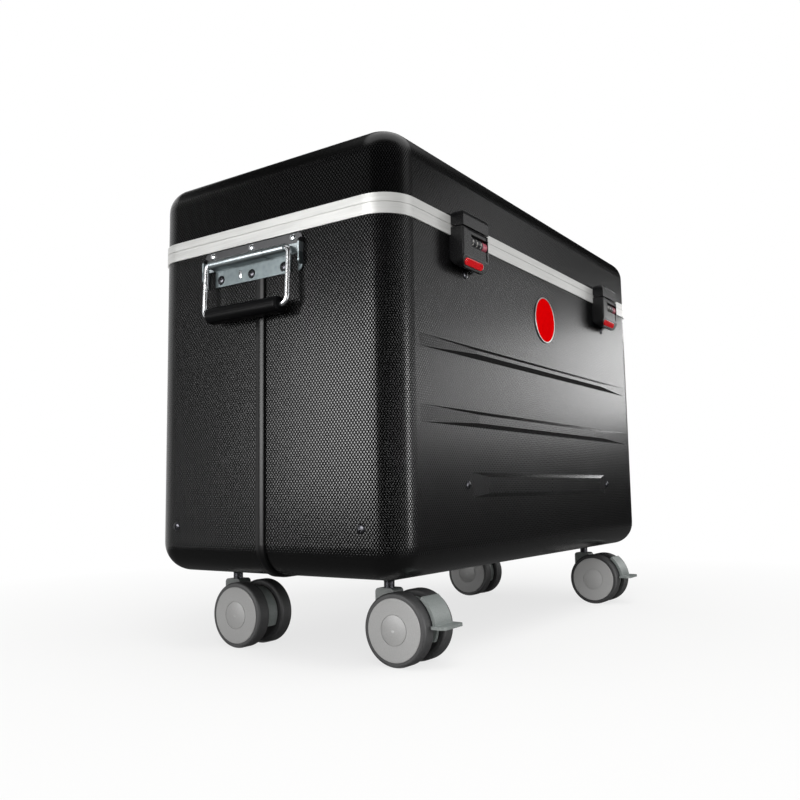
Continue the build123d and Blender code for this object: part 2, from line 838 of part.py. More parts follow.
stem_low = fork_top - stem_engagement + slide_fit
cup_low = shell_bottom - cup_height
cup_taper = degrees(atan2(cup_radius - stem_radius, cup_height))
with BuildPart() as castor_stems:
    with BuildSketch(Plane.XY.offset(stem_low)):
        with GridLocations(castor_spacing_x, castor_spacing_y, 2, 2):
            Circle(stem_radius)
    extrude(amount=cup_low - stem_low)
    with BuildSketch(Plane.XY.offset(shell_bottom)):
        with GridLocations(castor_spacing_x, castor_spacing_y, 2, 2):
            Circle(cup_radius)
    extrude(amount=-cup_height, taper=cup_taper)
    with BuildSketch(Plane.XY.offset(shell_bottom)):
        with GridLocations(castor_spacing_x, castor_spacing_y, 2, 2):
            Circle(thread_radius)
    extrude(amount=plate_high - shell_bottom)
    with BuildSketch(Plane.XY.offset(plate_high)):
        with GridLocations(castor_spacing_x, castor_spacing_y, 2, 2):
            RegularPolygon(nut_radius, 6)
    extrude(amount=nut_height)
save(castor_stems.part, "castor_stems")


# Castors: a fork between two wheels, with its axle. A front fork has a slot for
# the brake pedal, which turns on the axle and hugs both treads.
def castor_fork(x, y, braked):
    """Fork body with the swivel bore, and the axle as a second solid."""
    axle_y = y - castor_trail
    axle_half = wheel_gap / 2 + wheel_width - hub_recess
    fender_low = wheel_radius - fender_drop
    neck_low = wheel_radius
    pedal_slot = pedal_web_width + 2 * slide_fit
    slot_top = wheel_radius + fender_radius
    slot_front = axle_y - fender_radius
    with BuildPart() as fork:
        with BuildSketch(Plane.YZ.offset(x)):
            with Locations((axle_y, wheel_radius)):
                Circle(fender_radius)
            with Locations((axle_y, fender_low - fender_radius)):
                Rectangle(2 * fender_radius, 2 * fender_radius, mode=Mode.SUBTRACT)
            with Locations((y, (neck_low + fork_top) / 2)):
                Rectangle(fork_neck_length, fork_top - neck_low)
        extrude(amount=fork_width / 2, both=True)
        fillet(fork.faces().sort_by(Axis.Z)[-1].edges().filter_by(Axis.X), fork_round)
        if braked:
            with BuildSketch(Plane.YZ.offset(x)):
                with Locations(((axle_y + slot_front) / 2, (fender_low + slot_top) / 2)):
                    Rectangle(axle_y - slot_front, slot_top - fender_low)
                with Locations((axle_y, wheel_radius)):
                    Circle(pedal_hub_radius + slide_fit)
            extrude(amount=pedal_slot / 2, both=True, mode=Mode.SUBTRACT)
        with BuildSketch(Plane.XY.offset(fork_top)):
            with Locations((x, y)):
                Circle(stem_radius + running_fit)
        extrude(amount=-stem_engagement, mode=Mode.SUBTRACT)
        with BuildSketch(Plane.YZ.offset(x)):
            with Locations((axle_y, wheel_radius)):
                Circle(axle_radius + seat_fit)
        extrude(amount=fork_width / 2, both=True, mode=Mode.SUBTRACT)
        with BuildSketch(Plane.YZ.offset(x)):
            with Locations((axle_y, wheel_radius)):
                Circle(axle_radius)
        extrude(amount=axle_half, both=True)
    return fork.part


def wheel(x, y, out):
    """Wheel with a rounded tread, a recess for its cover and a hollow inner side."""
    hub = Plane(origin=(x + out * wheel_gap / 2, y - castor_trail, wheel_radius), z_dir=(out, 0, 0))
    with BuildPart() as body:
        with BuildSketch(hub):
            Circle(wheel_radius)
        extrude(amount=wheel_width)
        fillet(body.edges().filter_by(GeomType.CIRCLE), tread_round)
        with BuildSketch(hub.offset(wheel_width)):
            Circle(cover_radius + seat_fit)
        extrude(amount=cover_proud - cover_thickness, mode=Mode.SUBTRACT)
        with BuildSketch(hub):
            Circle(wheel_radius - wheel_rim)
            Circle(hub_radius, mode=Mode.SUBTRACT)
        extrude(amount=hub_recess, mode=Mode.SUBTRACT)
        with BuildSketch(hub):
            Circle(axle_radius + running_fit)
        extrude(amount=wheel_width, mode=Mode.SUBTRACT)
    return body.part


def wheel_cover(x, y, out):
    """Cover disc on the wheel's outer side with a domed hub inside a groove."""
    face = wheel_gap / 2 + wheel_width + cover_proud
    outside = Plane(origin=(x + out * face, y - castor_trail, wheel_radius), z_dir=(out, 0, 0))
    section = Plane(origin=outside.origin, x_dir=(0, 1, 0), z_dir=(0, 0, -out))
    with BuildPart() as cover:
        with BuildSketch(outside.offset(-cover_thickness)):
            Circle(cover_radius)
        extrude(amount=cover_thickness)
        fillet(cover.faces().sort_by(Axis.X)[0 if out < 0 else -1].edges(), cover_proud)
        with BuildSketch(outside):
            Circle(hub_radius + hub_groove)
        extrude(amount=-hub_groove, mode=Mode.SUBTRACT)
        with BuildSketch(section):
            with BuildLine():
                dome = TangentArc((0, hub_proud), (-hub_radius, 0), tangent=(-1, 0))
                Polyline(dome @ 1, (-hub_radius, -hub_groove), (0, -hub_groove), dome @ 0)
            make_face()
        revolve(axis=Axis(outside.origin, outside.z_dir))
    return cover.part


def brake_pedal(x, y):
    """Pedal: a hub on the axle, a web, a curved shoe over the treads and a foot lip."""
    axle = (y - castor_trail, wheel_radius)
    side = Plane.YZ.offset(x)
    shoe_angle = pedal_top_angle - pedal_foot_angle
    web_turn = 180 - (pedal_top_angle + pedal_foot_angle) / 2
    lip_inner = axle[0] - pedal_inner
    lip_outer = axle[0] - pedal_outer - pedal_lip_reach
    lip_low = wheel_radius + pedal_inner * sin(radians(pedal_foot_angle)) - pedal_lip_thickness / 2
    with BuildPart() as pedal:
        with BuildSketch(side):
            with BuildLine():
                outside = CenterArc(axle, pedal_outer, 180 - pedal_top_angle, shoe_angle)
                inside = CenterArc(axle, pedal_inner, 180 - pedal_top_angle, shoe_angle)
                Line(outside @ 0, inside @ 0)
                Line(outside @ 1, inside @ 1)
            make_face()
        extrude(amount=pedal_width / 2, both=True)
        with BuildSketch(side):
            with Locations(axle):
                Circle(pedal_hub_radius)
                Rectangle(
                    pedal_inner + pedal_thickness / 2,
                    pedal_hub_radius,
                    rotation=web_turn,
                    align=(Align.MIN, Align.CENTER),
                )
        extrude(amount=pedal_web_width / 2, both=True)
        with BuildSketch(Plane.XY.offset(lip_low)) as lip:
            with Locations((x, (lip_inner + lip_outer) / 2)):
                Rectangle(pedal_lip_width, lip_inner - lip_outer)
            fillet(lip.vertices().group_by(Axis.Y)[0], pedal_lip_reach / 2)
        extrude(amount=pedal_lip_thickness)
        with BuildSketch(side):
            with Locations(axle):
                Circle(axle_radius + running_fit)
        extrude(amount=pedal_web_width / 2, both=True, mode=Mode.SUBTRACT)
    return pedal.part


for name, (x, y) in castor_places.items():
    save(castor_fork(x, y, name in braked_castors), f"castor_fork_{name}")
    for wheel_name, shift in (("left", -1), ("right", 1)):
        save(wheel(x, y, shift), f"wheel_{name}_{wheel_name}")
        save(wheel_cover(x, y, shift), f"wheel_cover_{name}_{wheel_name}")
    if name in braked_castors:
        save(brake_pedal(x, y), f"brake_pedal_{name}")


# Rack: a deck on the frame's ledge with a tub hanging from it, split into
# tablet slots by upright dividers.
with BuildPart() as rack_tray:
    with BuildSketch(Plane.XY.offset(deck_low)):
        RectangleRounded(
            case_length - 2 * deck_inset,
            case_depth - 2 * deck_inset,
            corner_radius - deck_inset,
        )
    extrude(amount=deck_thickness)
    with BuildSketch(Plane.XY.offset(bay_floor - bay_wall)):
        with Locations((bay_middle, 0)):
            Rectangle(bay_length + 2 * bay_wall, bay_width + 2 * bay_wall)
    extrude(amount=bay_wall + bay_depth)
    with BuildSketch(Plane.XY.offset(bay_floor)):
        with Locations((bay_middle, 0)):
            Rectangle(bay_length, bay_width)
    extrude(amount=bay_depth, mode=Mode.SUBTRACT)
    with BuildSketch(Plane.XY.offset(deck_low)):
        with Locations((charger_middle, 0)):
            Rectangle(charger_length + 2 * slide_fit, charger_width + 2 * slide_fit)
    extrude(amount=deck_thickness, mode=Mode.SUBTRACT)
save(rack_tray.part, "rack_tray")

with BuildPart() as device_dividers:
    for number in range(1, slot_count):
        divider_x = bay_left + number * slot_pitch - divider_thickness
        with BuildSketch(Plane.YZ.offset(divider_x)) as outline:
            with Locations((0, bay_floor + divider_height / 2)):
                Rectangle(bay_width - 2 * slide_fit, divider_height)
            fillet(outline.vertices().group_by(Axis.Y)[-1], divider_round)
        extrude(amount=divider_thickness)
save(device_dividers.part, "device_dividers")

# Charging unit: a drop-in box with a flange on the deck and vents in its top.
with BuildPart() as charging_unit:
    with BuildSketch(Plane.XY.offset(deck_top)):
        with Locations((charger_middle, 0)):
            Rectangle(charger_length + 2 * charger_flange, charger_width + 2 * charger_flange)
    extrude(amount=deck_thickness)
    with BuildSketch(Plane.XY.offset(deck_top)):
        with Locations((charger_middle, 0)):
            Rectangle(charger_length, charger_width)
    extrude(amount=-charger_depth)
    with BuildSketch(Plane.XY.offset(deck_top + deck_thickness)):
        with Locations((charger_middle, 0)):
            with GridLocations(vent_pitch, 0, vent_count, 1):
                SlotOverall(vent_length, vent_width, rotation=90)
    extrude(amount=-vent_depth, mode=Mode.SUBTRACT)
save(charging_unit.part, "charging_unit")

# Mains inlet: a flanged socket with three flat pins, in the rear wall.
inlet_place = rear_face.offset(inlet_flange_thickness)
with BuildPart() as power_inlet:
    with BuildSketch(inlet_place):
        with Locations((-inlet_x, inlet_height)):
            RectangleRounded(inlet_flange_length, inlet_flange_height, inlet_wall)
    extrude(amount=-inlet_flange_thickness)
    with BuildSketch(inlet_place):
        with Locations((-inlet_x, inlet_height)):
            Rectangle(inlet_body_length, inlet_body_height)
    extrude(amount=-inlet_body_depth)
    with BuildSketch(inlet_place):
        with Locations((-inlet_x, inlet_height)):
            Rectangle(inlet_body_length - 2 * inlet_wall, inlet_body_height - 2 * inlet_wall)
    extrude(amount=-inlet_socket_depth, mode=Mode.SUBTRACT)
    with BuildSketch(inlet_place.offset(-inlet_socket_depth)):
        with Locations((-inlet_x, inlet_height)):
            with GridLocations(inlet_pin_pitch, 0, inlet_pin_count, 1):
                Rectangle(inlet_pin_thickness, inlet_pin_height)
    extrude(amount=inlet_pin_length)
save(power_inlet.part, "power_inlet")
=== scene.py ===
# %% [markdown]
# # A device charging trolley
# The trolley is a black moulded case on four twin-wheel castors. Its lid closes on an aluminium frame with
# two number locks, and a rack inside holds tablets while they charge. The solids arrive already built, at
# their real size, in metres with z up. This lesson gives every solid its finish and adds what shows only
# close up: badge, screw heads, numbers on the dials, foam in the lid. A solid is never moved here, because
# its joints are measured from where it is.

# %% Load the solids
import json
import math

import bmesh
import bpy
from mathutils import Matrix, Vector

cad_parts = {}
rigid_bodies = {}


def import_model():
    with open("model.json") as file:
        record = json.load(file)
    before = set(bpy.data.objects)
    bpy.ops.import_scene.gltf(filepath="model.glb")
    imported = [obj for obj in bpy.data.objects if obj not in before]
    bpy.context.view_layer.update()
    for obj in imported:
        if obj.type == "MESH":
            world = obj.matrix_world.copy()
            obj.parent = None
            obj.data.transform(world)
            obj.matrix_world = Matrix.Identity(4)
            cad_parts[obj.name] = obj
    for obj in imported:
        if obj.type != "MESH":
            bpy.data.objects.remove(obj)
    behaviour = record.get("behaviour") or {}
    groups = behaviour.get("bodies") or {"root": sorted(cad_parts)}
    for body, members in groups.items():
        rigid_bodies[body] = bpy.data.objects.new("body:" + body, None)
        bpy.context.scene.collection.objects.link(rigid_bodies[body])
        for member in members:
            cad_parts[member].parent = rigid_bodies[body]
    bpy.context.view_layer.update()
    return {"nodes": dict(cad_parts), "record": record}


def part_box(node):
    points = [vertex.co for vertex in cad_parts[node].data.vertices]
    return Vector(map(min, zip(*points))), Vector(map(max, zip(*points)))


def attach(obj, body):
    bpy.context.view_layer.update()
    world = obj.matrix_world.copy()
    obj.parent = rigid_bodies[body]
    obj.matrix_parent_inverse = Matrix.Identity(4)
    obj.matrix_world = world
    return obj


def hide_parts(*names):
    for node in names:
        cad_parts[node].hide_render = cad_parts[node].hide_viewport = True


for leftover in list(bpy.data.objects):
    bpy.data.objects.remove(leftover)
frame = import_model()
solids = frame["nodes"]
scene = bpy.context.scene
mm = 0.001

# %% [markdown]
# ## The camera
# The trolley is seen from low down at its left front corner, so the lid's top is hidden and the left wall is
# nearer than the front. A camera can be aimed by a Track To constraint, but three turns say the same thing
# in plain numbers: first it is tipped up from looking straight down, then turned about the vertical, and a
# small roll is added last.

# %% Camera at the corner
camera_place = Vector((-977.4, -610.5, 172.2)) * mm
camera_yaw = math.radians(55.81)
camera_pitch = math.radians(6.35)
camera_roll = math.radians(-0.947)
lens_mm = 37.2
sensor_mm = 36

camera_data = bpy.data.cameras.new("corner_camera")
camera_data.sensor_fit = "HORIZONTAL"
camera_data.sensor_width = sensor_mm
camera_data.lens = lens_mm
camera = bpy.data.objects.new("corner_camera", camera_data)
scene.collection.objects.link(camera)
tip_up = Matrix.Rotation(math.pi / 2 + camera_pitch, 4, "X")
turn = Matrix.Rotation(-camera_yaw, 4, "Z")
roll = Matrix.Rotation(camera_roll, 4, "Z")
camera.matrix_world = Matrix.Translation(camera_place) @ turn @ tip_up @ roll
scene.camera = camera
looks_along = camera.matrix_world.to_quaternion() @ Vector((0, 0, -1))
print("camera looks along", [round(part, 3) for part in looks_along])

# %% [markdown]
# ## One helper for every node
# Materials, floor and sky are all node trees. A single function that adds a node, sets its fields and fills
# its inputs keeps the trees readable: an input that is given a socket is linked, and any other value is typed
# in. Colours are written as sRGB hex, as in a paint program, and turned to the linear values that shaders
# count in.

# %% Node helper and colour helper
def add_node(tree, kind, inputs=None, **fields):
    """Adds one node to a tree, sets its fields, then links or fills its inputs."""
    node = tree.nodes.new(kind)
    for name, value in fields.items():
        setattr(node, name, value)
    for name, value in (inputs or {}).items():
        if isinstance(value, bpy.types.NodeSocket):
            tree.links.new(value, node.inputs[name])
        else:
            node.inputs[name].default_value = value
    return node


def linear(hex_colour):
    """Linear RGBA of an sRGB hex colour."""
    parts = [int(hex_colour[at:at + 2], 16) / 255 for at in (1, 3, 5)]
    lit = [part / 12.92 if part <= 0.04045 else ((part + 0.055) / 1.055) ** 2.4 for part in parts]
    return lit + [1.0]


print("mid grey #808080 is", round(linear("#808080")[0], 3), "in linear light")

# %% [markdown]
# ## The floor
# The trolley stands in a white studio. A floor that is only lit would never be an even white, so the camera,
# mirrors and glass see mostly a plain glow. Near the castors a share of the real, shadowed floor is left in,
# which keeps the shadow under the trolley, and further out it fades away, so that floor and sky meet without
# a line. Every other ray sees an ordinary pale floor.

# %% White floor
floor_radius = 30
glow_near = 0.75
fade_start = 0.35
fade_end = 1.1
pale_floor = "#e6e6e4"
white = "#ffffff"
smooth_round = 96


def seen_directly(tree):
    """1 for camera, mirror and glass rays, and 0 for the rays that only carry light."""
    path = add_node(tree, "ShaderNodeLightPath").outputs
    shiny = add_node(tree, "ShaderNodeMath", {0: path["Is Glossy Ray"], 1: path["Is Transmission Ray"]},
                     operation="MAXIMUM")
    seen = add_node(tree, "ShaderNodeMath", {0: path["Is Camera Ray"], 1: shiny.outputs[0]},
                    operation="MAXIMUM")
    return seen.outputs[0]


studio_floor = bpy.data.materials.new("studio_floor")
studio_floor.use_nodes = True
tree = studio_floor.node_tree
tree.nodes.clear()
spot = add_node(tree, "ShaderNodeTexCoord").outputs["Object"]
distance = add_node(tree, "ShaderNodeVectorMath", {0: spot}, operation="LENGTH").outputs["Value"]
glow_level = add_node(tree, "ShaderNodeMapRange", {
    "Value": distance, "From Min": fade_start, "From Max": fade_end, "To Min": glow_near})
glow_share = add_node(tree, "ShaderNodeMath", {0: seen_directly(tree), 1: glow_level.outputs[0]},
                      operation="MULTIPLY")
paper = add_node(tree, "ShaderNodeBsdfDiffuse", {"Color": linear(pale_floor)})
glow = add_node(tree, "ShaderNodeEmission", {"Color": linear(white)})
floor_mix = add_node(tree, "ShaderNodeMixShader", {
    0: glow_share.outputs[0], 1: paper.outputs[0], 2: glow.outputs[0]})
add_node(tree, "ShaderNodeOutputMaterial", {"Surface": floor_mix.outputs[0]})

floor_shape = bmesh.new()
bmesh.ops.create_circle(floor_shape, cap_ends=True, segments=smooth_round, radius=floor_radius)
floor_mesh = bpy.data.meshes.new("floor")
floor_shape.to_mesh(floor_mesh)
floor_shape.free()
floor_mesh.materials.append(studio_floor)
floor = bpy.data.objects.new("floor", floor_mesh)
scene.collection.objects.link(floor)
print("floor radius", floor_radius, "m")

# %% [markdown]
# ## The sky
# In a studio the white room itself lights the product from all round. Here one white background stands for
# walls and ceiling, because a modelled room would only be more surfaces to light. It is half as bright for
# the rays that only carry light, so the case isn't flooded.

# %% White sky
sky_fill = 0.5

sky = bpy.data.worlds.new("studio_sky")
scene.world = sky
sky.use_nodes = True
tree = sky.node_tree
tree.nodes.clear()
sky_level = add_node(tree, "ShaderNodeMapRange", {"Value": seen_directly(tree), "To Min": sky_fill})
dome = add_node(tree, "ShaderNodeBackground", {"Color": linear(white), "Strength": sky_level.outputs[0]})
add_node(tree, "ShaderNodeOutputWorld", {"Surface": dome.outputs[0]})
scene.view_settings.view_transform = "Standard"
print("sky lights with", sky_fill, "of its white")

# %% [markdown]
# ## Soft lights
# Black plastic shows its shape by what it mirrors, so each lamp here has one of two jobs. Seven of them only
# show in shiny surfaces: four on the right make the sheen that grows along the front wall and the gleam on
# its bar, one in front lights the round corner, and two on the left draw the lattice of the left walls. Two
# large ones only light what is dull, such as wheels and forks. One lamp could do both jobs, but then a
# brighter sheen would bleach the castors. Three of the mirrored lamps are kept off the lid, whose flat top
# would throw them straight back at a higher camera.

# %% Seven mirrored lamps and two for the dull surfaces
leftwards, rightwards, backwards = (-1, 0, 0), (1, 0, 0), (0, 1, 0)
case_middle = Vector((0, 0, 0.3))


def softbox(name, place, faces, size, watts, mirrored=True):
    """A rectangular lamp that either shows in shiny surfaces or lights the dull ones."""
    lamp = bpy.data.lights.new(name, "AREA")
    lamp.shape = "RECTANGLE"
    lamp.size, lamp.size_y = size
    lamp.energy = watts
    box = bpy.data.objects.new(name, lamp)
    scene.collection.objects.link(box)
    box.location = place
    box.rotation_euler = Vector(faces).to_track_quat("-Z", "Y").to_euler()
    box.visible_camera = False
    box.visible_glossy = mirrored
    box.visible_diffuse = not mirrored
    print(name, watts, "W at", place)
    return box


def shade_off(box, names):
    """Keeps a lamp off some solids, as a small card held in its beam would."""
    kept_off = bpy.data.collections.new(box.name + "_kept_off")
    box.light_linking.receiver_collection = kept_off
    for name in names:
        kept_off.objects.link(solids[name])
    for entry in kept_off.collection_objects:
        entry.light_linking.link_state = "EXCLUDE"
    print(box.name, "is kept off", ", ".join(names))


softbox("front_strip", (2.0, -2.0, 0.59), leftwards, (2.8, 0.40), 8.5)
softbox("front_end_strip", (1.98, -0.72, 0.60), leftwards, (0.44, 0.36), 2.0)
softbox("front_fill_softbox", (2.05, -1.60, 1.15), leftwards, (0.9, 0.7), 2.2)
rib_strip = softbox("rib_strip", (2.0, -0.21, 0.93), leftwards, (0.3, 0.45), 2.3)
corner_strip = softbox("corner_strip", (-0.35, -2.2, 0.38), backwards, (1.9, 0.75), 70)
side_softbox = softbox("side_softbox", (-1.9, 0.44, 0.45), rightwards, (1.80, 0.66), 53)
softbox("lid_fill_softbox", (-1.95, 0.7, 1.25), rightwards, (1.4, 0.7), 1.2)
for name, place, size, watts in (("top_softbox", (-0.6, -0.8, 2.6), 2.0, 40),
                                 ("corner_softbox", (-1.9, -1.5, 1.3), 1.4, 22)):
    softbox(name, place, case_middle - Vector(place), (size, size), watts, mirrored=False)
shade_off(rib_strip, ["lid_shell"])
shade_off(side_softbox, ["lid_shell"])
shade_off(corner_strip, ["lid_shell", "lid_frame", "base_frame"])

# %% [markdown]
# ## Dark flags
# In an all white room black walls still look grey, because they mirror the room. Photographers stand dark
# cards beside such a product and call them flags. These are met by mirror rays alone, so they take no light
# away and no view shows them. They cover only what the walls mirror in this view, and they thin out towards
# their rims: the other sides keep the white room, which shows their form, and no hard edge is mirrored.

# %% Cards for the mirror rays
velvet_tone = "#1c1c1c"
felt_tone = "#5c5c5c"
feather = 0.5


def flag_cloth(name, tone, lengths):
    """A dark glow that turns clear within a feather's width of the card's rim."""
    cloth = bpy.data.materials.new(name)
    cloth.use_nodes = True
    tree = cloth.node_tree
    tree.nodes.clear()
    across = add_node(tree, "ShaderNodeSeparateXYZ", {0: add_node(tree, "ShaderNodeTexCoord").outputs["UV"]})
    cover = []
    # A zigzag that turns back at one half gives the way to the nearer rim.
    for axis, length in zip("XY", lengths):
        to_rim = add_node(tree, "ShaderNodeMath", {0: across.outputs[axis], 1: 0.5}, operation="PINGPONG")
        cover.append(add_node(tree, "ShaderNodeMapRange", {
            "Value": to_rim.outputs[0], "From Max": feather / length}, interpolation_type="SMOOTHSTEP"))
    dense = add_node(tree, "ShaderNodeMath", {0: cover[0].outputs[0], 1: cover[1].outputs[0]},
                     operation="MULTIPLY")
    clear = add_node(tree, "ShaderNodeBsdfTransparent")
    shade = add_node(tree, "ShaderNodeEmission", {"Color": linear(tone)})
    mixed = add_node(tree, "ShaderNodeMixShader", {
        0: dense.outputs[0], 1: clear.outputs[0], 2: shade.outputs[0]})
    add_node(tree, "ShaderNodeOutputMaterial", {"Surface": mixed.outputs[0]})
    return cloth


def flag(name, tone, corner, along, up):
    """A card from one corner along two edges, seen by mirror rays alone."""
    corner, along, up = Vector(corner), Vector(along), Vector(up)
    card = bmesh.new()
    places = (corner, corner + along, corner + along + up, corner + up)
    face = card.faces.new([card.verts.new(place) for place in places])
    share = card.loops.layers.uv.new("share")
    for loop, place in zip(face.loops, ((0, 0), (1, 0), (1, 1), (0, 1))):
        loop[share].uv = place
    mesh = bpy.data.meshes.new(name)
    card.to_mesh(mesh)
    card.free()
    mesh.materials.append(flag_cloth(name, tone, (along.length, up.length)))
    stand = bpy.data.objects.new(name, mesh)
    scene.collection.objects.link(stand)
    stand.visible_camera = stand.visible_diffuse = False
    stand.visible_transmission = stand.visible_shadow = False
    print(name, "is", round(along.length, 2), "by", round(up.length, 2), "m")


flag("right_flag", velvet_tone, (2.2, 2.0, -0.6), (0, -5.4, 0), (0, 0, 3.6))
flag("left_flag", velvet_tone, (-2.1, -0.2, -0.6), (0, 4.2, 0), (0, 0, 3.8))
flag("corner_flag", velvet_tone, (-2.6, 0.5, -0.6), (3.1, -3.1, 0), (0, 0, 5.0))
flag("top_flag", velvet_tone, (-2.8, 1.0, 3.0), (5.4, 0, 0), (0, 2.4, 0))
flag("right_floor_flag", velvet_tone, (-0.1, -3.0, 0.002), (3.5, 0, 0), (0, 3.1, 0))
flag("left_floor_flag", felt_tone, (-2.6, -0.4, 0.002), (2.0, 0, 0), (0, 3.6, 0))
flag("middle_floor_flag", felt_tone, (-1.2, -0.95, 0.003), (2.7, 0, 0), (0, 1.9, 0))

# %% [markdown]
# ## Ordinary finishes
# Most finishes here are one recipe: a fine noise, sized in real millimetres, that shifts the colour a little,
# varies the roughness and raises a low bump. Moulded plastic, plated steel and rubber then differ in grain,
# gloss and metal. What is the same all over a surface, such as metallic or specular level, is typed into the
# shader itself.

# %% The recipe for an ordinary finish
# Noise seldom leaves this range, so it is stretched to fill 0 to 1.
noise_low, noise_high = 0.3, 0.7


def grained(name, dark, light, grain_mm, rough, bump_mm, stretch=(1, 1, 1), **constants):
    """A material whose colour, roughness and bump follow a fine noise on Object coordinates."""
    material = bpy.data.materials.new(name)
    material.use_nodes = True
    tree = material.node_tree
    shader = tree.nodes["Principled BSDF"]
    for socket, value in constants.items():
        shader.inputs[socket.replace("_", " ")].default_value = value
    place = add_node(tree, "ShaderNodeTexCoord").outputs["Object"]
    stretched = add_node(tree, "ShaderNodeMapping", {"Vector": place, "Scale": stretch})
    noise = add_node(tree, "ShaderNodeTexNoise", {
        "Vector": stretched.outputs[0], "Scale": 1 / (grain_mm * mm), "Detail": 3.0, "Roughness": 0.6})
    level = add_node(tree, "ShaderNodeMapRange", {
        "Value": noise.outputs["Fac"], "From Min": noise_low, "From Max": noise_high}).outputs[0]
    tint = add_node(tree, "ShaderNodeMix", {0: level, 6: linear(dark), 7: linear(light)}, data_type="RGBA")
    polish = add_node(tree, "ShaderNodeMapRange", {"Value": level, "To Min": rough[0], "To Max": rough[1]})
    tree.links.new(tint.outputs[2], shader.inputs["Base Color"])
    tree.links.new(polish.outputs[0], shader.inputs["Roughness"])
    if bump_mm:
        relief = add_node(tree, "ShaderNodeBump", {"Height": level, "Distance": bump_mm * mm})
        tree.links.new(relief.outputs[0], shader.inputs["Normal"])
    return material


print("noise is read from", noise_low, "to", noise_high)

# %% Plastics and rubbers
# Each line gives a name, a dark and a light colour, the grain in mm, the least and most roughness, and the
# bump in mm.
# Injection moulded ABS: near black, a little grey where light skims it.
satin_black_abs = grained("satin_black_abs", "#0d0d0e", "#161617", 0.6, (0.24, 0.32), 0.01,
                          Specular_IOR_Level=0.4)
# Softer moulding for the grip: dull, with a fine even tooth.
grip_moulding = grained("grip_moulding", "#040405", "#08080a", 0.8, (0.34, 0.44), 0.03,
                        Specular_IOR_Level=0.06)
# Dark wheel moulding behind the dial window, a shade lighter than the lock round it.
dial_moulding = grained("dial_moulding", "#1a1a1c", "#242427", 0.5, (0.35, 0.45), 0.02)
# Non-marking tread rubber: dark grey and matt, with a dusty bloom.
tread_rubber = grained("tread_rubber", "#282829", "#3a3a3b", 1.5, (0.55, 0.72), 0.06)
# Grey polypropylene covers: even colour, low sheen.
grey_cover = grained("grey_cover_polypropylene", "#a0a09f", "#abaaaa", 1.2, (0.36, 0.46), 0.03)
# Grey nylon of the forks and pedals: a cooler, greener grey.
grey_nylon = grained("grey_fork_nylon", "#727876", "#818785", 1.4, (0.38, 0.50), 0.04)
# Vacuum-formed polystyrene of the rack: charcoal with a low sheen.
rack_sheet = grained("rack_polystyrene", "#26272a", "#303134", 1.0, (0.42, 0.52), 0.05)
# Spark-textured housing of the charging unit: a touch darker and duller than the rack.
charger_moulding = grained("charger_polycarbonate", "#202225", "#2b2d31", 0.9, (0.45, 0.58), 0.06)
# Nylon of the mains inlet: plain black.
inlet_moulding = grained("inlet_nylon", "#0c0c0d", "#141415", 0.7, (0.35, 0.45), 0.03)
# Sponge rubber: closed skin with small pits.
sponge_rubber = grained("sponge_rubber", "#141415", "#212122", 1.8, (0.70, 0.85), 0.20)
# Polished acrylic lens of the release button: bright red under a clear coat.
red_lens = grained("red_lens_acrylic", "#c8141c", "#dc2228", 3.0, (0.06, 0.10), 0.005, Coat_Weight=0.6)
# Red flag beside the dials, dulled by its window.
flag_red = grained("red_flag_moulding", "#9c4453", "#ad5362", 1.0, (0.35, 0.45), 0.02)
print("moulded finishes ready")

# %% [markdown]
# ## Metals
# The closing frame is an anodised extrusion, so its fine lines run along its length: a noise that is squeezed
# along z and stretched along x and y gives lines on all four sides at once. Real drawing lines are finer than
# a pixel here, so they are drawn about a millimetre apart. Wire, rivets and pins are plainer metals with
# their own gloss.

# %% Aluminium and steel
along_the_frame = (0.02, 0.02, 1)
# Anodised aluminium: its clear oxide scatters light, so it is paler and mirrors less than bare metal.
anodised_aluminium = grained("anodised_aluminium", "#c4c4c2", "#d1d1cf", 1.1, (0.30, 0.38), 0.01,
                             along_the_frame, Metallic=0.4)
# Bare extruded hinges: brighter, and darker where they mirror the case.
hinge_aluminium = grained("hinge_aluminium", "#bdbdba", "#cfcfcc", 1.1, (0.30, 0.42), 0.01,
                          along_the_frame, Metallic=1.0)
# Chromed wire mirrors nearly everything.
chrome = grained("chrome_plate", "#d6d8da", "#e2e4e6", 4.0, (0.22, 0.26), 0.001, Metallic=1.0)
# Headed rivets: bright, with the faint marks of the tool that closed them.
bright_rivet = grained("bright_rivet_steel", "#c3c6c9", "#d8dbdd", 1.0, (0.16, 0.26), 0.01, Metallic=1.0)
# Drawn pins and axles: a grey steel, softer in its mirror.
drawn_steel = grained("drawn_steel", "#aeb1b4", "#c1c4c7", 1.2, (0.25, 0.35), 0.01, Metallic=1.0)
# Blackened screws: dark oxide with a slight gleam on the dome.
black_oxide = grained("black_oxide_steel", "#2e2e31", "#454549", 0.8, (0.22, 0.32), 0.01, Metallic=0.9)
# Plain zinc plate, for what sits inside the floor: blue grey and satin.
plain_zinc = grained("plain_zinc_plate", "#8d9497", "#a3aaad", 3.0, (0.28, 0.40), 0.02, Metallic=1.0)
print("metal finishes ready")

# %% [markdown]
# ## The case: embossed ABS
# The shells are thermoformed from black ABS sheet whose skin is embossed with a lattice of small diamonds,
# glossy pips on a duller ground. The walls keep the emboss, and where the sheet was drawn round the edges and
# ribs it is stretched smooth. A picture could be wrapped round the case, but two cosine waves multiplied give
# the same lattice anywhere: high spots stand at every step along and up, and again half a step over.

# %% Diamond emboss
# Real pips stand nearer 3 mm apart. These are a quarter coarser, so that they show in a small picture.
pip_across_mm = 3.8
pip_up_mm = 4.8
# Where the waves' product is over this share, a pip is flat on top.
pip_edge = 0.4


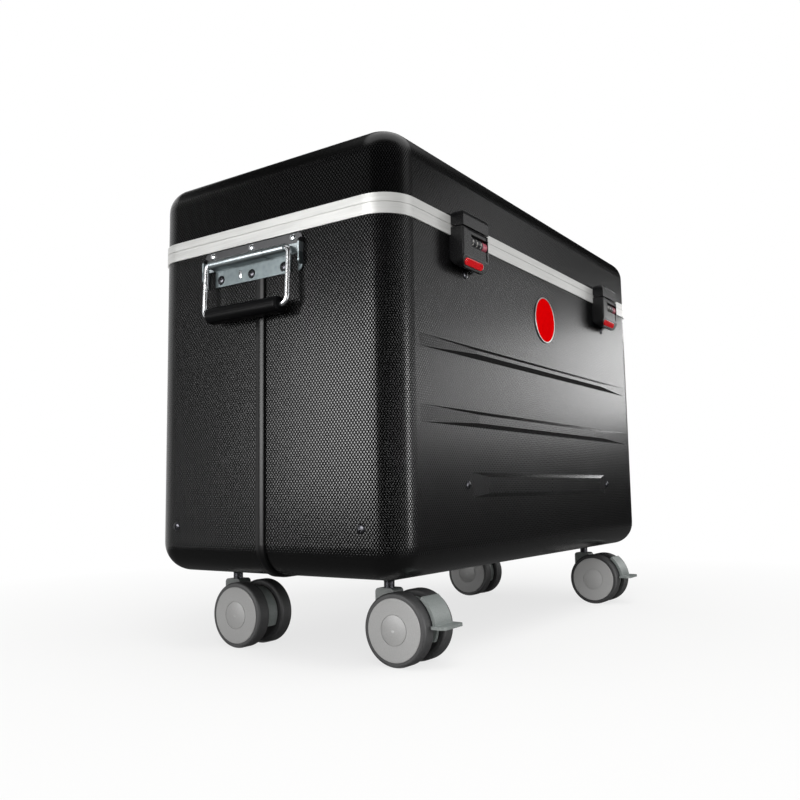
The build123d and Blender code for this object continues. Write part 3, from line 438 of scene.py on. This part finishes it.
def wave(tree, length, step_mm):
    """A cosine along a length, one period for each step."""
    turns = add_node(tree, "ShaderNodeMath", {0: length, 1: math.tau / (step_mm * mm)}, operation="MULTIPLY")
    return add_node(tree, "ShaderNodeMath", {0: turns.outputs[0]}, operation="COSINE").outputs[0]


def emboss(tree, across, up, upright, tilt):
    """Where one part of the sheet is left undrawn, and the pips that it keeps there."""
    undrawn = add_node(
        tree, "ShaderNodeMapRange", {"Value": upright, "From Min": tilt[0], "From Max": tilt[1]},
        interpolation_type="SMOOTHSTEP").outputs[0]
    crests = add_node(tree, "ShaderNodeMath", {
        0: wave(tree, across, pip_across_mm), 1: wave(tree, up, pip_up_mm)}, operation="MULTIPLY")
    diamonds = add_node(tree, "ShaderNodeMapRange", {"Value": crests.outputs[0], "From Max": pip_edge},
                        interpolation_type="SMOOTHSTEP")
    kept = add_node(tree, "ShaderNodeMath", {0: diamonds.outputs[0], 1: undrawn}, operation="MULTIPLY")
    return undrawn, kept.outputs[0]


print("emboss", pip_across_mm, "x", pip_up_mm, "mm")

# %% [markdown]
# ## Where the emboss lies
# Along the walls the waves follow |x| - |y|, which runs on without a break round all four corners. Separate
# patterns for each wall would meet in a seam there. The surface direction tells flat from drawn: a wall's
# normal has no z, and a top's has nothing else.

# %% Walls and tops
# The z of a normal where the emboss starts to show, and where it is full.
wall_tilt = (0.4, 0.08)
top_tilt = (0.8, 0.97)

# Embossed ABS sheet: deep black, with points of light where the pips catch a lamp, and pips a little lighter
# as a faint painted glint.
embossed_abs = bpy.data.materials.new("embossed_black_abs")
embossed_abs.use_nodes = True
tree = embossed_abs.node_tree
where = add_node(tree, "ShaderNodeTexCoord").outputs
place = add_node(tree, "ShaderNodeSeparateXYZ", {0: where["Object"]}).outputs
facing = add_node(tree, "ShaderNodeSeparateXYZ", {0: where["Normal"]}).outputs
size_x = add_node(tree, "ShaderNodeMath", {0: place["X"]}, operation="ABSOLUTE")
size_y = add_node(tree, "ShaderNodeMath", {0: place["Y"]}, operation="ABSOLUTE")
around = add_node(tree, "ShaderNodeMath", {0: size_x.outputs[0], 1: size_y.outputs[0]}, operation="SUBTRACT")
upright = add_node(tree, "ShaderNodeMath", {0: facing["Z"]}, operation="ABSOLUTE").outputs[0]
end_wall = add_node(tree, "ShaderNodeMath", {0: facing["X"]}, operation="ABSOLUTE").outputs[0]
wall, wall_pips = emboss(tree, around.outputs[0], place["Z"], upright, wall_tilt)
top, top_pips = emboss(tree, place["X"], place["Y"], upright, top_tilt)
undrawn = add_node(tree, "ShaderNodeMath", {0: wall, 1: top}, operation="ADD").outputs[0]
pips = add_node(tree, "ShaderNodeMath", {0: wall_pips, 1: top_pips}, operation="ADD").outputs[0]
print("walls keep the emboss up to a normal of z", wall_tilt[0])

# %% [markdown]
# ## Gloss and relief of the emboss
# The roller that pressed the sheet left the pips shiny and the ground dull, so roughness and specular tint
# follow the pips as well as the bump does. A bump alone would fade out where the light comes from straight
# ahead. The end walls take a deeper relief than the long ones, which are seen at a lower angle, where a deep
# bump would break up the sheen. A slow noise stands for handling and shifts the gloss by a hair.

# %% Skin, gloss and relief
# The pips are painted a little lighter than the ground: a faint painted glint, so the lattice shows where no
# lamp is mirrored.
ground_tone, pip_glint_tone = "#020202", "#0e0e0f"
pip_rough, ground_rough, drawn_rough = 0.22, 0.30, 0.25
side_emboss_mm = 0.12
front_emboss_mm = 0.04
handling_mm = 45
handling_shift = 0.004

shader = tree.nodes["Principled BSDF"]
skin = add_node(tree, "ShaderNodeMix", {0: pips, 6: linear(ground_tone), 7: linear(pip_glint_tone)},
                data_type="RGBA")
gleam = add_node(tree, "ShaderNodeMix", {0: undrawn, 2: 1.0, 3: pips})
embossed = add_node(tree, "ShaderNodeMix", {0: pips, 2: ground_rough, 3: pip_rough})
gloss = add_node(tree, "ShaderNodeMix", {0: undrawn, 2: drawn_rough, 3: embossed.outputs[0]})
handling = add_node(tree, "ShaderNodeTexNoise", {
    "Vector": where["Object"], "Scale": 1 / (handling_mm * mm), "Detail": 4.0})
worn = add_node(tree, "ShaderNodeMapRange", {
    "Value": handling.outputs["Fac"], "From Min": noise_low, "From Max": noise_high,
    "To Min": -handling_shift, "To Max": handling_shift})
polish = add_node(tree, "ShaderNodeMath", {0: gloss.outputs[0], 1: worn.outputs[0]}, operation="ADD")
depth = add_node(tree, "ShaderNodeMapRange", {
    "Value": end_wall, "To Min": front_emboss_mm * mm, "To Max": side_emboss_mm * mm})
height = add_node(tree, "ShaderNodeMath", {0: pips, 1: depth.outputs[0]}, operation="MULTIPLY")
relief = add_node(tree, "ShaderNodeBump", {"Height": height.outputs[0], "Distance": 1.0})
tree.links.new(skin.outputs[2], shader.inputs["Base Color"])
tree.links.new(gleam.outputs[0], shader.inputs["Specular Tint"])
tree.links.new(polish.outputs[0], shader.inputs["Roughness"])
tree.links.new(relief.outputs[0], shader.inputs["Normal"])
print("pips", side_emboss_mm, "mm high on the end walls and", front_emboss_mm, "mm on the long ones")

# %% [markdown]
# ## The seam strip: a rounded bead
# Where the two half shells meet, a black strip with a rounded back is pressed over the joint. Its back could
# be modelled, but a bump that falls off with the square of the distance from the joint turns the light the
# same way. The strip lies in the plane y = 0 all the way round, so its own y is that distance.

# %% Bead across the strip
bead_rise_mm = 1.6
strip_low, strip_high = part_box("seam_strip")
strip_half = (strip_high.y - strip_low.y) / 2
# Extruded black bead: satin, with one soft line of light along its crown.
seam_bead = grained("satin_black_bead", "#060606", "#0c0c0d", 0.8, (0.30, 0.38), 0, Specular_IOR_Level=0.22)
tree = seam_bead.node_tree
where = add_node(tree, "ShaderNodeTexCoord").outputs["Object"]
strip_y = add_node(tree, "ShaderNodeSeparateXYZ", {0: where}).outputs["Y"]
off_joint = add_node(tree, "ShaderNodeMath", {0: strip_y, 1: 1 / strip_half}, operation="MULTIPLY").outputs[0]
fall = add_node(tree, "ShaderNodeMath", {0: off_joint, 1: off_joint}, operation="MULTIPLY")
bead = add_node(tree, "ShaderNodeBump", {"Height": fall.outputs[0], "Distance": bead_rise_mm * mm},
                invert=True)
tree.links.new(bead.outputs[0], tree.nodes["Principled BSDF"].inputs["Normal"])
print("seam strip", round(2 * strip_half / mm, 1), "mm wide")

# %% [markdown]
# ## The handle plates: zinc-plated steel in three tones, two of them painted light
# Each handle hangs from a pressed plate. Its upper flange sits under the closing frame and gets a dark satin
# tone, which is painted shade. The rolled barrel gets a bright tone, which is a painted highlight, and the
# lower flange has the cool grey of passivated zinc. All three are one pressing, so one material fades from
# tone to tone by height, measured from the plate's own box.

# %% Zinc by height
plate_low, plate_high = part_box("handle_plate_left")
plate_middle = (plate_low + plate_high) / 2
lower_edge_mm = 18.6
upper_edge_mm = 29.4
tone_blend_mm = 1.0
spangle_dark, spangle_light = "#5e6668", "#727a7c"
# The barrel's bright tone is a painted highlight and the upper flange's dark tone is painted shade.
barrel_highlight_tone = "#9aa2a4"
upper_flange_shade_tone = "#4c4c4d"
spangle_mm = 5
brushed_mm = 2.5
brushed_rough = (0.30, 0.36)
brushed_depth_mm = 0.005

# Zinc-plated steel: cool grey with a faint spangle, mirrored softly, with a painted highlight on the barrel
# and painted shade on the upper flange.
zinc_plate = bpy.data.materials.new("zinc_plated_steel")
zinc_plate.use_nodes = True
tree = zinc_plate.node_tree
shader = tree.nodes["Principled BSDF"]
shader.inputs["Metallic"].default_value = 1.0
where = add_node(tree, "ShaderNodeTexCoord").outputs["Object"]
height = add_node(tree, "ShaderNodeSeparateXYZ", {0: where}).outputs["Z"]
spangle = add_node(tree, "ShaderNodeTexVoronoi", {"Vector": where, "Scale": 1 / (spangle_mm * mm)},
                   feature="SMOOTH_F1")
tone = add_node(tree, "ShaderNodeMix", {
    0: spangle.outputs["Distance"], 6: linear(spangle_dark), 7: linear(spangle_light)},
    data_type="RGBA").outputs[2]
for edge_mm, painted_tone in ((lower_edge_mm, barrel_highlight_tone), (upper_edge_mm, upper_flange_shade_tone)):
    edge = plate_low.z + edge_mm * mm
    above = add_node(tree, "ShaderNodeMapRange", {
        "Value": height, "From Min": edge, "From Max": edge + tone_blend_mm * mm})
    tone = add_node(tree, "ShaderNodeMix", {0: above.outputs[0], 6: tone, 7: linear(painted_tone)},
                    data_type="RGBA").outputs[2]
brushed = add_node(tree, "ShaderNodeTexNoise", {
    "Vector": where, "Scale": 1 / (brushed_mm * mm), "Detail": 4.0}).outputs["Fac"]
polish = add_node(tree, "ShaderNodeMapRange", {
    "Value": brushed, "From Min": noise_low, "From Max": noise_high,
    "To Min": brushed_rough[0], "To Max": brushed_rough[1]})
relief = add_node(tree, "ShaderNodeBump", {"Height": brushed, "Distance": brushed_depth_mm * mm})
tree.links.new(tone, shader.inputs["Base Color"])
tree.links.new(polish.outputs[0], shader.inputs["Roughness"])
tree.links.new(relief.outputs[0], shader.inputs["Normal"])
print("plate from", round(plate_low.z / mm, 1), "to", round(plate_high.z / mm, 1), "mm")

# %% [markdown]
# ## Dress the solids
# Every solid came in with one material slot, named for what it is made of. A table from that name to a finish
# dresses them all in one loop, and a name that is missing from the table stops the script, so no solid is
# left plain.

# %% Finish for each kind of solid
finishes = {
    "case_plastic": embossed_abs, "seam_plastic": seam_bead, "frame_aluminium": anodised_aluminium,
    "hinge_aluminium": hinge_aluminium, "zinc_steel": zinc_plate, "rivet_steel": bright_rivet,
    "pin_steel": drawn_steel, "chrome_wire": chrome, "grip_rubber": grip_moulding,
    "lock_plastic": satin_black_abs, "button_plastic": red_lens, "dial_plastic": dial_moulding,
    "tyre_rubber": tread_rubber, "cover_plastic": grey_cover, "fork_plastic": grey_nylon,
    "rack_plastic": rack_sheet, "charger_plastic": charger_moulding, "inlet_plastic": inlet_moulding,
    "seal_rubber": sponge_rubber, "lid_foam": sponge_rubber,
}
for solid in solids.values():
    made_of = solid.material_slots[0].material.name
    solid.material_slots[0].material = finishes[made_of]
# Two kinds of steel piece take neither the handle plates' zinc nor its painted highlight and shade.
solids["castor_plates"].material_slots[0].material = plain_zinc
solids["castor_stems"].material_slots[0].material = black_oxide
print("dressed", len(solids), "solids in", len(set(finishes.values())) + 2, "finishes")

# %% [markdown]
# ## How a new piece joins the trolley
# A piece is shaped as a bmesh, written to a mesh, smoothed except at its sharp edges, and then told which
# body it rides on, so that it moves with the lid or turns with a dial. One function does this for every
# piece, because a piece that misses one of these steps would be left behind when the trolley moves.

# %% Add a piece
crease = math.radians(35)


def add_piece(name, shape, finish, body):
    """Writes a bmesh to a new object that rides on a body and takes the given finish."""
    mesh = bpy.data.meshes.new(name)
    shape.to_mesh(mesh)
    shape.free()
    mesh.shade_smooth()
    mesh.set_sharp_from_angle(angle=crease)
    for material in finish if isinstance(finish, list) else [finish]:
        mesh.materials.append(material)
    piece = bpy.data.objects.new(name, mesh)
    scene.collection.objects.link(piece)
    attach(piece, body)
    print(name, "has", len(mesh.polygons), "faces and rides on", body)
    return piece


print("edges over", round(math.degrees(crease)), "degrees stay sharp")

# %% [markdown]
# ## Seats for small pieces
# A screw could be placed by typed numbers, but then a change of the case would leave it floating off its
# wall. A ray cast on a solid finds the place where a piece sits and the way the surface faces there. Copies
# of one head are joined, so a group of screws is a single piece.

# %% Seat and copies
try_height = 0.35


def seat(node, start, direction):
    """Placement on a solid, where a ray meets it, with z out of the surface."""
    hit, place, normal, _ = solids[node].ray_cast(Vector(start), Vector(direction))
    if not hit:
        raise ValueError(f"no surface of {node} on the way from {start}")
    return Matrix.Translation(place) @ normal.to_track_quat("Z", "Y").to_matrix().to_4x4()


def copies(template, places):
    """One bmesh with a copy of the template at each placement; the template is used up."""
    joined = bmesh.new()
    for place in places:
        one = template.copy()
        bmesh.ops.transform(one, matrix=place, verts=one.verts)
        carrier = bpy.data.meshes.new("carrier")
        one.to_mesh(carrier)
        one.free()
        joined.from_mesh(carrier)
        bpy.data.meshes.remove(carrier)
    template.free()
    return joined


bpy.context.view_layer.update()
wall_y = seat("front_shell", (0, -1, try_height), (0, 1, 0)).translation.y
print("front wall at y", round(wall_y / mm, 1), "mm,", try_height, "m up")

# %% [markdown]
# ## The badge
# A round enamelled plate is stuck on the front wall, red with a thin pale rim and no marking. It could be a
# spun profile, but a disc that is extruded and inset is quicker: the inset face becomes the field, pushed a
# little below the rim, and a bevel breaks the outer edge.

# %% Red badge plate
badge_radius = 30 * mm
badge_height = 304.5 * mm
badge_shift = 5 * mm
badge_thickness = 1.4 * mm
badge_edge = 0.5 * mm
badge_rim = 0.9 * mm
field_slope = 0.3 * mm
field_drop = 0.35 * mm
# Baked enamel: deep even red, which keeps its colour because it mirrors nothing.
red_enamel = grained("red_enamel", "#d00004", "#dc0306", 6.0, (0.45, 0.52), 0.01, Specular_IOR_Level=0.0)
# Turned metal rim: a thin pale line round the red.
pale_rim = grained("pale_rim_metal", "#a19f9e", "#b2b0ae", 1.0, (0.30, 0.40), 0.01, Metallic=1.0)

shell_low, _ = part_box("front_shell")
badge_seat = seat("front_shell", (badge_shift, -1, shell_low.z + badge_height), (0, 1, 0))
badge = bmesh.new()
bmesh.ops.create_circle(badge, cap_ends=True, segments=smooth_round, radius=badge_radius)
raised = bmesh.ops.extrude_face_region(badge, geom=badge.faces[:])["geom"]
raised_points = [part for part in raised if isinstance(part, bmesh.types.BMVert)]
bmesh.ops.translate(badge, vec=(0, 0, badge_thickness), verts=raised_points)
bmesh.ops.recalc_face_normals(badge, faces=badge.faces)
field = max(badge.faces, key=lambda face: face.calc_center_median().z)
bmesh.ops.bevel(badge, geom=field.edges[:], offset=badge_edge,
                affect="EDGES", segments=3, profile=0.5, material=-1)
discs = [face for face in badge.faces if len(face.verts) == smooth_round]
field = max(discs, key=lambda face: face.calc_center_median().z)
bmesh.ops.inset_region(badge, faces=[field], thickness=badge_rim, depth=0)
bmesh.ops.inset_region(badge, faces=[field], thickness=field_slope, depth=-field_drop)
field.material_index = 1
bmesh.ops.transform(badge, matrix=badge_seat, verts=badge.verts)
add_piece("badge_plate", badge, [pale_rim, red_enamel], "base")

# %% [markdown]
# ## Screw heads and rivets
# Small fasteners are half spheres pressed flat, on a tapered shank that sinks into the wall. A spun profile
# would do as well, but a sphere that is cut in half needs no profile to be drawn. One head of each kind is
# made and copied to every place.

# %% Domed head
head_radius = 4 * mm
head_height = 2 * mm
head_sides, head_rings = 24, 12
shank_length = 4 * mm
shank_taper = 0.5


def domed_head(radius, height):
    """Half a flattened sphere on a short shank, with z out of the surface."""
    head = bmesh.new()
    bmesh.ops.create_uvsphere(head, u_segments=head_sides, v_segments=head_rings, radius=1)
    everything = head.verts[:] + head.edges[:] + head.faces[:]
    bmesh.ops.bisect_plane(head, geom=everything, plane_co=(0, 0, 0), plane_no=(0, 0, 1), clear_inner=True)
    bmesh.ops.scale(head, vec=(radius, radius, height), verts=head.verts)
    rim = [edge for edge in head.edges if edge.is_boundary]
    foot = bmesh.ops.extrude_edge_only(head, edges=rim)["geom"]
    low = [part for part in foot if isinstance(part, bmesh.types.BMVert)]
    bmesh.ops.translate(head, vec=(0, 0, -shank_length), verts=low)
    bmesh.ops.scale(head, vec=(shank_taper, shank_taper, 1), verts=low)
    bmesh.ops.holes_fill(head, edges=[edge for edge in head.edges if edge.is_boundary])
    bmesh.ops.recalc_face_normals(head, faces=head.faces)
    return head


print("domed head has", len(domed_head(head_radius, head_height).faces), "faces")

# %% [markdown]
# ## The cross recess
# A driver needs a recess to turn a screw. It is cut with the Boolean modifier from two crossed bars, because
# a recess that is only painted on would lose its shadow at once.

# %% Crossed head
# The cross bars' length and width in head radii, and their middle in head heights.
cross_length, cross_width, cross_rise = 1.15, 0.24, 0.95


def crossed_head(radius, height):
    """A domed head with a cross recess in its crown."""
    cross = bmesh.new()
    for turned in (0, math.pi / 2):
        bar = bmesh.ops.create_cube(cross, size=1)["verts"]
        bmesh.ops.scale(cross, vec=(cross_length * radius, cross_width * radius, height), verts=bar)
        bmesh.ops.rotate(cross, cent=(0, 0, 0), matrix=Matrix.Rotation(turned, 3, "Z"), verts=bar)
        bmesh.ops.translate(cross, vec=(0, 0, cross_rise * height), verts=bar)
    parts = []
    for shape in (domed_head(radius, height), cross):
        mesh = bpy.data.meshes.new("cut")
        shape.to_mesh(mesh)
        shape.free()
        parts.append(bpy.data.objects.new("cut", mesh))
        scene.collection.objects.link(parts[-1])
    recess = parts[0].modifiers.new("recess", "BOOLEAN")
    recess.operation = "DIFFERENCE"
    recess.use_self = True
    recess.object = parts[1]
    crossed = bmesh.new()
    crossed.from_object(parts[0], bpy.context.evaluated_depsgraph_get())
    for part in parts:
        bpy.data.objects.remove(part)
    return crossed


print("crossed head has", len(crossed_head(head_radius, head_height).faces), "faces")

# %% [markdown]
# ## Fasteners of the handle plates
# Three bright rivets hold each plate's upper flange and three dark screws its lower one. The solids have
# plain pegs in these places, so a ray at each peg finds its top, and the heads take the pegs' place.

# %% Rivets and screws of both handles
rivet_spacing = 59.5 * mm
rivet_drop = 4.5 * mm
screw_spacing = 46.5 * mm
screw_radius = 5.2 * mm
screw_rise = 7.5 * mm
peg_top = Matrix.Translation((0, 0, -head_height))
rivet_places = []
screw_places = []
for out in (-1, 1):
    for step in (-1, 0, 1):
        rivet_start = (out, plate_middle.y + step * rivet_spacing, plate_high.z - rivet_drop)
        screw_start = (out, plate_middle.y + step * screw_spacing, plate_low.z + screw_rise)
        rivet_places.append(seat("handle_rivets", rivet_start, (-out, 0, 0)) @ peg_top)
        screw_places.append(seat("handle_rivets", screw_start, (-out, 0, 0)) @ peg_top)
rivets = add_piece("handle_rivet_heads", copies(domed_head(head_radius, head_height), rivet_places),
                   bright_rivet, "base")
screws = add_piece("handle_screw_heads", copies(crossed_head(screw_radius, head_height), screw_places),
                   black_oxide, "base")
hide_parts("handle_rivets")
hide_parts("handle_rivets")

# %% [markdown]
# ## Screws in the walls
# Blackened screws hold the rack, on the long walls' bars and low on the end walls, and one sits under each
# lock. Front and rear repeat each other, so one loop over the two half shells places most of them. The last
# two are measured from the locks, so they can't drift away from what they fasten.

# %% Screws in the case walls
wall_screw_radius = 5.0 * mm
wall_screw_height = 1.8 * mm
bar_screw_x, bar_screw_rise = 206 * mm, 91.5 * mm
side_screw_y, side_screw_rise = 130 * mm, 51 * mm
lock_screw_drop = 1.5 * mm
lock_screw_shift = 4 * mm
wall_screws = []
for shell, out_y in (("front_shell", -1), ("rear_shell", 1)):
    for out_x in (-1, 1):
        bar_start = (out_x * bar_screw_x, out_y, shell_low.z + bar_screw_rise)
        side_start = (out_x, out_y * side_screw_y, shell_low.z + side_screw_rise)
        wall_screws.append(seat(shell, bar_start, (0, -out_y, 0)))
        wall_screws.append(seat(shell, side_start, (-out_x, 0, 0)))
for side in ("left", "right"):
    lock_low, lock_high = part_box(f"lock_body_{side}")
    lock_middle = (lock_low.x + lock_high.x) / 2
    lock_start = (lock_middle + lock_screw_shift, -1, lock_low.z - lock_screw_drop)
    wall_screws.append(seat("front_shell", lock_start, (0, 1, 0)))
add_piece("wall_screw_heads", copies(crossed_head(wall_screw_radius, wall_screw_height), wall_screws),
          black_oxide, "base")

# %% [markdown]
# ## Screws under the floor
# Four domed screws hold each castor plate from below. The record knows where each castor swivels, so the
# screws are set round that axis, and a ray from below finds the floor.

# %% Sixteen floor screws
floor_screw_reach = 20 * mm
floor_screw_radius = 3.4 * mm
floor_screw_height = 2 * mm
floor_screws = []
for joint in frame["record"]["behaviour"]["joints"]:
    if joint["name"].startswith("swivel_"):
        stem_x, stem_y = joint["pos_m"][:2]
        shell = "front_shell" if stem_y < 0 else "rear_shell"
        for step_x in (-floor_screw_reach, floor_screw_reach):
            for step_y in (-floor_screw_reach, floor_screw_reach):
                floor_screws.append(seat(shell, (stem_x + step_x, stem_y + step_y, 0), (0, 0, 1)))
add_piece("floor_screw_heads", copies(domed_head(floor_screw_radius, floor_screw_height), floor_screws),
          black_oxide, "base")

# %% [markdown]
# ## Numbers on the dials
# Each lock has three wheels with ten flats, numbered 0 to 9. Text is the quickest way to real numerals: each
# digit is a text curve turned into a mesh, stood upright, pushed out to the wheel's flat and turned about the
# axle to its own flat. A wheel's ten digits are one piece that rides on that wheel, so they turn with it.

# %% Ten digits a wheel
digit_size = 3.9 * mm
digit_lift = 0.02 * mm
# Pad-printed ink: warm white and dull.
dial_ink = grained("dial_ink", "#dcdad2", "#e8e6df", 0.4, (0.5, 0.6), 0.005)


def digit_mesh(digit):
    """Flat mesh of one digit, centred, facing z."""
    curve = bpy.data.curves.new("digit", "FONT")
    curve.body = str(digit)
    curve.size = digit_size
    curve.align_x = "CENTER"
    curve.align_y = "CENTER"
    curve.extrude = digit_lift
    curve.resolution_u = 3
    writer = bpy.data.objects.new("digit", curve)
    scene.collection.objects.link(writer)
    mesh = bpy.data.meshes.new_from_object(writer.evaluated_get(bpy.context.evaluated_depsgraph_get()))
    bpy.data.objects.remove(writer)
    return mesh


digits = [digit_mesh(digit) for digit in range(10)]
for side in ("left", "right"):
    for wheel in (1, 2, 3):
        name = f"dial_{side}_{wheel}"
        low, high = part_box(name)
        stand_up = Matrix.Rotation(math.pi / 2, 4, "X")
        to_flat = Matrix.Translation((0, (low.y - high.y) / 2, 0)) @ stand_up
        numbers = bmesh.new()
        for digit, mesh in enumerate(digits):
            about_axle = Matrix.Rotation(-digit * math.tau / len(digits), 4, "X")
            one = mesh.copy()
            one.transform(Matrix.Translation((low + high) / 2) @ about_axle @ to_flat)
            numbers.from_mesh(one)
        add_piece(f"{name}_numbers", numbers, dial_ink, name)

# %% [markdown]
# ## The red flag in the lock
# To the right of the wheels the window shows a curved red strip. It is part of a barrel: one straight edge
# spun about the dial axle makes the curved face, and Solidify's bmesh form gives it a wall. A cylinder
# would do as well, but half of it would have to be cut away.

# %% Curved red strip
window_right = 26 * mm
flag_gap = 0.6 * mm
flag_wall = 1.2 * mm
flag_steps = 24
for side in ("left", "right"):
    low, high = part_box(f"dial_{side}_3")
    body_low, body_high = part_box(f"lock_body_{side}")
    axle = (low + high) / 2
    start_x = high.x + flag_gap
    end_x = (body_low.x + body_high.x) / 2 + window_right - flag_gap / 2
    radius = (high.y - low.y) / 2
    strip = bmesh.new()
    ends = [strip.verts.new((x, axle.y, axle.z - radius)) for x in (start_x, end_x)]
    edge = strip.edges.new(ends)
    bmesh.ops.spin(strip, geom=ends + [edge], cent=axle, axis=(-1, 0, 0), angle=math.pi, steps=flag_steps)
    bmesh.ops.recalc_face_normals(strip, faces=strip.faces)
    bmesh.ops.solidify(strip, geom=strip.faces[:], thickness=flag_wall)
    bmesh.ops.recalc_face_normals(strip, faces=strip.faces)
    add_piece(f"lock_flag_{side}", strip, flag_red, "base")

# %% [markdown]
# ## Embossed tabs on the handle plates
# A small lug is pressed out of each lower flange, beside the middle screw. It takes the bright rivet steel, a
# painted highlight where its face catches the light. A cube with all its edges rounded is near enough to a
# pressing of that size, sunk a little so that only its face stands out.

# %% Pressed lugs
tab_size = Vector((1.6, 5.0, 9.0)) * mm
tab_round = 0.7 * mm
tab_shift = 17 * mm
tab_rise = 9.5 * mm
for side, out in (("left", -1), ("right", 1)):
    tab_start = (out, plate_middle.y + tab_shift, plate_low.z + tab_rise)
    on_plate = seat(f"handle_plate_{side}", tab_start, (-out, 0, 0)).translation
    tab = bmesh.new()
    bmesh.ops.create_cube(tab, size=1)
    bmesh.ops.scale(tab, vec=tab_size, verts=tab.verts)
    bmesh.ops.bevel(tab, geom=tab.edges[:], offset=tab_round,
                    affect="EDGES", segments=3, profile=0.5, material=-1)
    bmesh.ops.translate(tab, vec=on_plate, verts=tab.verts)
    # The bright rivet steel on the lug is a painted highlight on the flange's own zinc.
    add_piece(f"handle_tab_{side}", tab, bright_rivet, "base")

# %% [markdown]
# ## Convoluted foam in the lid
# A sheet of egg-crate foam is glued under the lid's top and presses lightly on the tablets. A grid whose
# points are lowered by two crossed cosines gives the waves, and extruding the whole sheet up to a flat back
# closes it. The waves fade out near the border, where the sheet was cut.

# %% Egg-crate sheet
wave_pitch = 41 * mm
wave_depth = 14 * mm
border = 14 * mm
foam_step = 5 * mm
# Open-cell polyurethane: charcoal, deeply matt, pitted all over.
charcoal_foam = grained("charcoal_foam", "#2f3033", "#434447", 2.2, (0.88, 0.97), 0.5)

foam_low, foam_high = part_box("lid_foam")
foam_size = foam_high - foam_low
foam_middle = (foam_low + foam_high) / 2
foam = bmesh.new()
bmesh.ops.create_grid(foam, x_segments=round(foam_size.x / foam_step),
                      y_segments=round(foam_size.y / foam_step), size=0.5)
bmesh.ops.scale(foam, vec=(foam_size.x, foam_size.y, 1), verts=foam.verts)
for point in foam.verts:
    to_border = min(foam_size.x / 2 - abs(point.co.x), foam_size.y / 2 - abs(point.co.y))
    fade = min(1, max(0, to_border / border))
    crest = math.cos(math.tau * point.co.x / wave_pitch) * math.cos(math.tau * point.co.y / wave_pitch)
    point.co.z = foam_low.z + wave_depth * (1 - fade * (1 + crest) / 2)
back = bmesh.ops.extrude_face_region(foam, geom=foam.faces[:])["geom"]
for point in (part for part in back if isinstance(part, bmesh.types.BMVert)):
    point.co.z = foam_high.z
bmesh.ops.translate(foam, vec=(foam_middle.x, foam_middle.y, 0), verts=foam.verts)
bmesh.ops.recalc_face_normals(foam, faces=foam.faces)
foam_sheet = add_piece("lid_foam_sheet", foam, charcoal_foam, "lid")
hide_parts("lid_foam")
